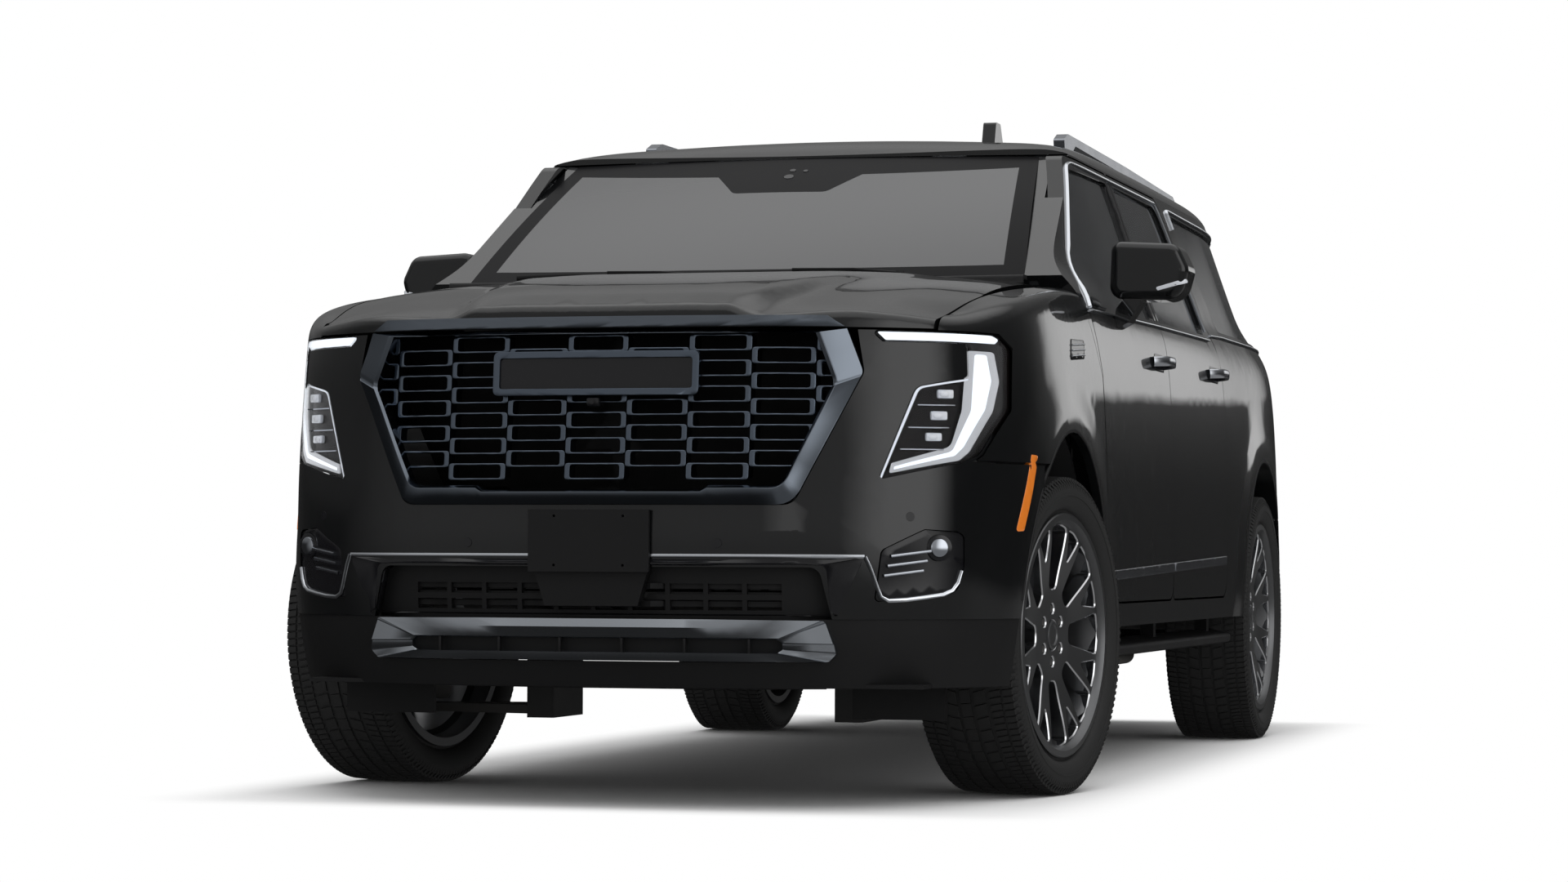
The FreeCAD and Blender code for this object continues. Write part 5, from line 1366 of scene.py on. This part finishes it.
def wiperArm(pivotX, tipX, tipUp):
    bm = bmesh.new()
    start = shieldLine(pivotX, -0.06)
    end = shieldLine(tipX, tipUp)
    blade = []
    for i in range(15):
        t = i / 14
        p = Vector(start).lerp(Vector(end), t)
        blade.append(shieldSkin.point(p.x / 1000, p.y / 1000, 0.004))
    tubeMesh(blade, roundProfile(7, 14, 0.6, 5), up=Vector((0, 0, 1)), bm=bm)
    arm = [blade[0] + Vector((0, 0, 0.004)), blade[3] + Vector((0, 0, 0.010)),
           blade[7] + Vector((0, 0, 0.008))]
    tubeMesh(arm, roundProfile(14, 9, 0.6, 5), up=Vector((0, 0, 1)), bm=bm)
    knob = bmesh.ops.create_cone(bm, cap_ends=True, segments=20, radius1=0.018, radius2=0.012, depth=0.016)
    bmesh.ops.translate(bm, vec=blade[0] + Vector((0, 0, 0.002)), verts=knob["verts"])
    return bm


finishPiece("wiperLeft", wiperArm(0.62, -0.18, -0.045), "mattePlastic", "vehicle_body")
finishPiece("wiperRight", wiperArm(-0.12, -0.88, -0.045), "mattePlastic", "vehicle_body")

tailSkin = Skin("tail", "liftgate", "rear_bumper", "tail_lamps", "body_side_left", "body_side_right",
                "liftgate_glass")


# plates of the rear: outline, lift, depth, bevel, finish and body
rearPlates = {
    "plateRecess": ([(-270, 905, 20), (270, 905, 20), (250, 1085, 24), (-250, 1085, 24)], 2, 6, 1.5,
                    "glossBlack", "liftgate"),
    "plateBlank": ([(-152, 925, 10), (152, 925, 10), (152, 1065, 10), (-152, 1065, 10)], 6, 4, 1,
                   "satinSilver", "liftgate"),
    "gateStrip": ([(-560, 1100, 8), (560, 1100, 8), (548, 1134, 8), (-548, 1134, 8)], 6, 8, 2.5, "chrome",
                  "liftgate"),
    "rearBlade": ([(-520, 318, 14), (520, 318, 14), (560, 372, 14), (470, 392, 14), (-470, 392, 14),
                   (-560, 372, 14)], 5, 10, 3, "bladeSilver", "vehicle_body"),
}
for name, (outline, lift, depth, bevel, finish, body) in rearPlates.items():
    finishPiece(name, plateMesh(tailSkin, outline, lift, depth, step=0.06, bevel=bevel), finish, body)


def rearReflectors():
    bm = bmesh.new()
    for left in (660, -800):
        outline = [(left, 520, 8), (left + 140, 520, 8), (left + 140, 545, 8), (left, 545, 8)]
        addMesh(bm, plateMesh(tailSkin, outline, 3, 5, step=0.05, bevel=1))
    return bm


finishPiece("rearReflectors", rearReflectors(), "tailLens", "vehicle_body")
print("rear built")


# seats: sculpted cushions over the cabin's plain ones
seatSize = {
    "front": {"places": ((0.39, -0.82), (-0.39, -0.82)), "half": 0.27, "base": 0.488},
    "middle": {"places": ((0.39, 0.16), (-0.39, 0.16)), "half": 0.27, "base": 0.488},
    "rear": {"places": ((0.0, 1.12),), "half": 0.58, "base": 0.64},
}


def cushionMesh(low, high, puff, seams, turn=None):
    # a soft block: rounded corners, a raised middle and pressed seams across it
    bm = bmesh.new()
    bmesh.ops.create_cube(bm, size=1)
    bmesh.ops.subdivide_edges(bm, edges=bm.edges[:], cuts=11, use_grid_fill=True)
    size = Vector(high) - Vector(low)
    middle = (Vector(high) + Vector(low)) / 2
    for v in bm.verts:
        p = v.co * 2
        length = (abs(p.x) ** 7 + abs(p.y) ** 7 + abs(p.z) ** 7) ** (1 / 7)
        full = p / max(length, 0.001) * max(abs(p.x), abs(p.y), abs(p.z))
        dent = 0.0
        for seam in seams:
            dent += 0.35 * math.exp(-((p.y - seam) / 0.07) ** 2)
        for seam in (-0.62, 0.62):
            dent += 0.3 * math.exp(-((p.x - seam) / 0.05) ** 2)
        top = max(p.z, 0) ** 3
        lift = puff * top * ((1 - p.x * p.x) * 0.5 + (1 - p.y * p.y) * 0.5 - dent)
        v.co = Vector((full.x * size.x / 2, full.y * size.y / 2, full.z * size.z / 2 + lift)) + middle
    if turn is not None:
        bmesh.ops.transform(bm, matrix=turn, verts=bm.verts[:])
    return bm


def seatMesh(kind, x, y):
    half = seatSize[kind]["half"]
    upright = Matrix.Rotation(math.pi / 2, 4, "X")
    bm = cushionMesh((x - half + 0.004, y + 0.004, 0.724), (x + half - 0.004, y + 0.55, 0.845), 0.012,
                     (-0.4, 0.2))
    lean = math.atan2(0.2, 0.65)
    place = Matrix.Translation((x, y + 0.60, 0.80)) @ Matrix.Rotation(-lean, 4, "X") @ upright
    back = cushionMesh((-half + 0.004, 0.01, -0.052), (half - 0.004, 0.655, 0.052), 0.012, (-0.5, 0.0, 0.5),
                       place)
    addMesh(bm, back)
    rests = (0,) if half < 0.4 else (-0.38, 0, 0.38)
    for offset in rests:
        place = Matrix.Translation((x + offset, y + 0.752, 1.53)) @ Matrix.Rotation(-0.14, 4, "X") @ upright
        addMesh(bm, cushionMesh((-0.125, -0.09, -0.036), (0.125, 0.09, 0.036), 0.008, (), place))
    return bm


def seatFoot(kind, x, y):
    half = seatSize[kind]["half"] * 1000
    return boxMesh((x * 1000 - half + 62, y * 1000 + 62, seatSize[kind]["base"] * 1000 + 1),
                   (x * 1000 + half - 62, y * 1000 + 418, 722), 12)


for kind, setting in seatSize.items():
    for i, (x, y) in enumerate(setting["places"]):
        node = kind + "_seats"
        seat = finishPiece(kind + "Seat" + str(i), seatMesh(kind, x, y), "leather", "vehicle_body",
                           replaces=(node,) if i == 0 else (), sharp=80)
        finishPiece(kind + "SeatFoot" + str(i), seatFoot(kind, x, y), "mattePlastic", "vehicle_body")
print("seats built")


# camera, floor and lights
cameraSize = {"lens": 90.14, "sensor": 36, "reach": 200, "place": (3.0304, -12.0418, 0.6262), "turn": 15.441,
              "tilt": 1.668, "roll": 0.242}


def placeCamera():
    c = cameraSize
    data = bpy.data.cameras.new("camera")
    data.lens = c["lens"]
    data.sensor_width = c["sensor"]
    data.clip_end = c["reach"]
    cam = bpy.data.objects.new("camera", data)
    turn = Matrix.Rotation(math.radians(c["turn"]), 4, "Z")
    tilt = Matrix.Rotation(math.radians(90 + c["tilt"]), 4, "X")
    roll = Matrix.Rotation(math.radians(c["roll"]), 4, "Z")
    cam.matrix_world = Matrix.Translation(c["place"]) @ turn @ tilt @ roll
    bpy.context.scene.collection.objects.link(cam)
    bpy.context.scene.camera = cam


stageSize = {"floor": 80.0, "worldLight": 0.62, "studioLow": 0.02, "studioFront": 0.34, "studioWall": 0.95,
             "studioBack": 0.15, "studioCorner": 1.5, "studioGround": 0.2, "shadowReach": 0.3,
             "shadowHalf": (0.98, 2.72), "floorWhite": 0.95}


def mapped(ns, ls, source, low, high):
    # a smooth rise from 0 to 1 between two values
    node = ns.new("ShaderNodeMapRange")
    node.interpolation_type = "SMOOTHSTEP"
    node.inputs["From Min"].default_value = low
    node.inputs["From Max"].default_value = high
    ls.new(source, node.inputs["Value"])
    return node.outputs["Result"]


def combined(ns, ls, operation, a, b):
    node = ns.new("ShaderNodeMath")
    node.operation = operation
    for socket, value in zip(node.inputs, (a, b)):
        if isinstance(value, float):
            socket.default_value = value
        else:
            ls.new(value, socket)
    return node.outputs[0]


def studioLevel(ns, ls):
    # what mirror rays meet: a white ceiling, a white wall on the right and a darker room below and behind
    place = ns.new("ShaderNodeTexCoord")
    split = ns.new("ShaderNodeSeparateXYZ")
    ls.new(place.outputs["Generated"], split.inputs[0])
    across, along, up = split.outputs
    ceiling = mapped(ns, ls, up, 0.46, 0.85)
    wall = combined(ns, ls, "MULTIPLY", mapped(ns, ls, across, 0.0, 0.2), mapped(ns, ls, up, 0.058, 0.066))
    wall = combined(ns, ls, "MULTIPLY", wall, mapped(ns, ls, up, 0.18, 0.14))
    wall = combined(ns, ls, "MULTIPLY", wall, mapped(ns, ls, across, 0.36, 0.24))
    wall = combined(ns, ls, "MULTIPLY", wall, stageSize["studioWall"])
    front = combined(ns, ls, "MULTIPLY", mapped(ns, ls, along, 0.0, -0.8), mapped(ns, ls, up, -0.4, 0.1))
    front = combined(ns, ls, "MULTIPLY", front, stageSize["studioFront"])
    corner = combined(ns, ls, "MULTIPLY", mapped(ns, ls, across, 0.38, 0.78),
                      mapped(ns, ls, along, 0.05, -0.4))
    corner = combined(ns, ls, "MULTIPLY", corner, mapped(ns, ls, up, -0.15, 0.05))
    corner = combined(ns, ls, "MULTIPLY", corner, stageSize["studioCorner"])
    back = combined(ns, ls, "MULTIPLY", mapped(ns, ls, up, 0.0, 0.2), stageSize["studioBack"])
    high = combined(ns, ls, "MULTIPLY", mapped(ns, ls, up, 0.22, 0.5), stageSize["studioBack"])
    back = combined(ns, ls, "ADD", back, high)
    dim = combined(ns, ls, "MULTIPLY", mapped(ns, ls, across, 0.15, -0.2), 0.55)
    dim = combined(ns, ls, "ADD", dim, 0.45)
    back = combined(ns, ls, "MULTIPLY", back, dim)
    ground = combined(ns, ls, "MULTIPLY", mapped(ns, ls, up, -0.02, -0.10), mapped(ns, ls, across, 0.1, 0.35))
    back = combined(ns, ls, "MAXIMUM", back, combined(ns, ls, "MULTIPLY", ground, stageSize["studioGround"]))
    low = combined(ns, ls, "MAXIMUM", combined(ns, ls, "MAXIMUM", front, back), stageSize["studioLow"])
    low = combined(ns, ls, "MAXIMUM", low, corner)
    return combined(ns, ls, "MAXIMUM", combined(ns, ls, "MAXIMUM", ceiling, wall), low)


def fadeFloor(ns, ls, shader):
    # the floor keeps the shadow near the object and is plain white for the camera further out
    place = ns.new("ShaderNodeTexCoord")
    split = ns.new("ShaderNodeSeparateXYZ")
    ls.new(place.outputs["Object"], split.inputs[0])
    gaps = []
    for output, half in zip(split.outputs, stageSize["shadowHalf"]):
        size = combined(ns, ls, "ABSOLUTE", output, 0.0)
        gaps.append(combined(ns, ls, "MAXIMUM", combined(ns, ls, "SUBTRACT", size, half), 0.0))
    squares = [combined(ns, ls, "MULTIPLY", gapValue, gapValue) for gapValue in gaps]
    away = combined(ns, ls, "SQRT", combined(ns, ls, "ADD", squares[0], squares[1]), 0.0)
    path = ns.new("ShaderNodeLightPath")
    clear = mapped(ns, ls, away, 0.0, stageSize["shadowReach"])
    clear = combined(ns, ls, "MULTIPLY", clear, path.outputs["Is Camera Ray"])
    shade = combined(ns, ls, "MULTIPLY", combined(ns, ls, "SUBTRACT", 1.0, clear), stageSize["floorWhite"])
    grey = ns.new("ShaderNodeCombineColor")
    for socket in grey.inputs[:3]:
        ls.new(shade, socket)
    ls.new(grey.outputs[0], shader.inputs["Base Color"])
    shader.inputs["Emission Color"].default_value = (1, 1, 1, 1)
    ls.new(clear, shader.inputs["Emission Strength"])


def buildStage():
    bm = bmesh.new()
    bmesh.ops.create_grid(bm, x_segments=1, y_segments=1, size=stageSize["floor"] / 2)
    mesh = bpy.data.meshes.new("floor")
    bm.to_mesh(mesh)
    bm.free()
    floor = bpy.data.objects.new("floor", mesh)
    bpy.context.scene.collection.objects.link(floor)
    sockets = {"Base Color": (0.95, 0.95, 0.95), "Roughness": 0.9, "Specular IOR Level": 0.0}
    mat, ns, ls, shader = newMaterial("paleFloor", sockets)
    fadeFloor(ns, ls, shader)
    mesh.materials.append(mat)
    floor.visible_glossy = False
    world = bpy.data.worlds.new("studio")
    bpy.context.scene.world = world
    world.use_nodes = True
    ns, ls = world.node_tree.nodes, world.node_tree.links
    plain = ns["Background"]
    plain.inputs["Color"].default_value = (1, 1, 1, 1)
    plain.inputs["Strength"].default_value = stageSize["worldLight"]
    path = ns.new("ShaderNodeLightPath")
    room = ns.new("ShaderNodeBackground")
    room.inputs["Color"].default_value = (1, 1, 1, 1)
    ls.new(studioLevel(ns, ls), room.inputs["Strength"])
    inMirror = ns.new("ShaderNodeMixShader")
    ls.new(path.outputs["Is Glossy Ray"], inMirror.inputs[0])
    ls.new(plain.outputs[0], inMirror.inputs[1])
    ls.new(room.outputs[0], inMirror.inputs[2])
    white = ns.new("ShaderNodeBackground")
    white.inputs["Color"].default_value = (1, 1, 1, 1)
    white.inputs["Strength"].default_value = 1.0
    seen = combined(ns, ls, "MAXIMUM", path.outputs["Is Camera Ray"], path.outputs["Is Transmission Ray"])
    mix = ns.new("ShaderNodeMixShader")
    ls.new(seen, mix.inputs[0])
    ls.new(inMirror.outputs[0], mix.inputs[1])
    ls.new(white.outputs[0], mix.inputs[2])
    ls.new(mix.outputs[0], ns["World Output"].inputs["Surface"])


softLights = {
    "ceiling": {"place": (0.5, -1.0, 9.0), "aim": (0, -0.5, 0), "size": (12.0, 18.0), "watts": 900},
}


def placeLights():
    for name, setting in softLights.items():
        data = bpy.data.lights.new(name, "AREA")
        data.shape = "RECTANGLE"
        data.size, data.size_y = setting["size"]
        data.energy = setting["watts"]
        lamp = bpy.data.objects.new(name, data)
        place, aim = Vector(setting["place"]), Vector(setting["aim"])
        lamp.location = place
        lamp.visible_glossy = False
        lamp.rotation_euler = (aim - place).to_track_quat("-Z", "Y").to_euler()
        bpy.context.scene.collection.objects.link(lamp)


placeCamera()
buildStage()
placeLights()
bpy.context.scene.view_settings.view_transform = "Standard"
print("camera, floor and lights placed")
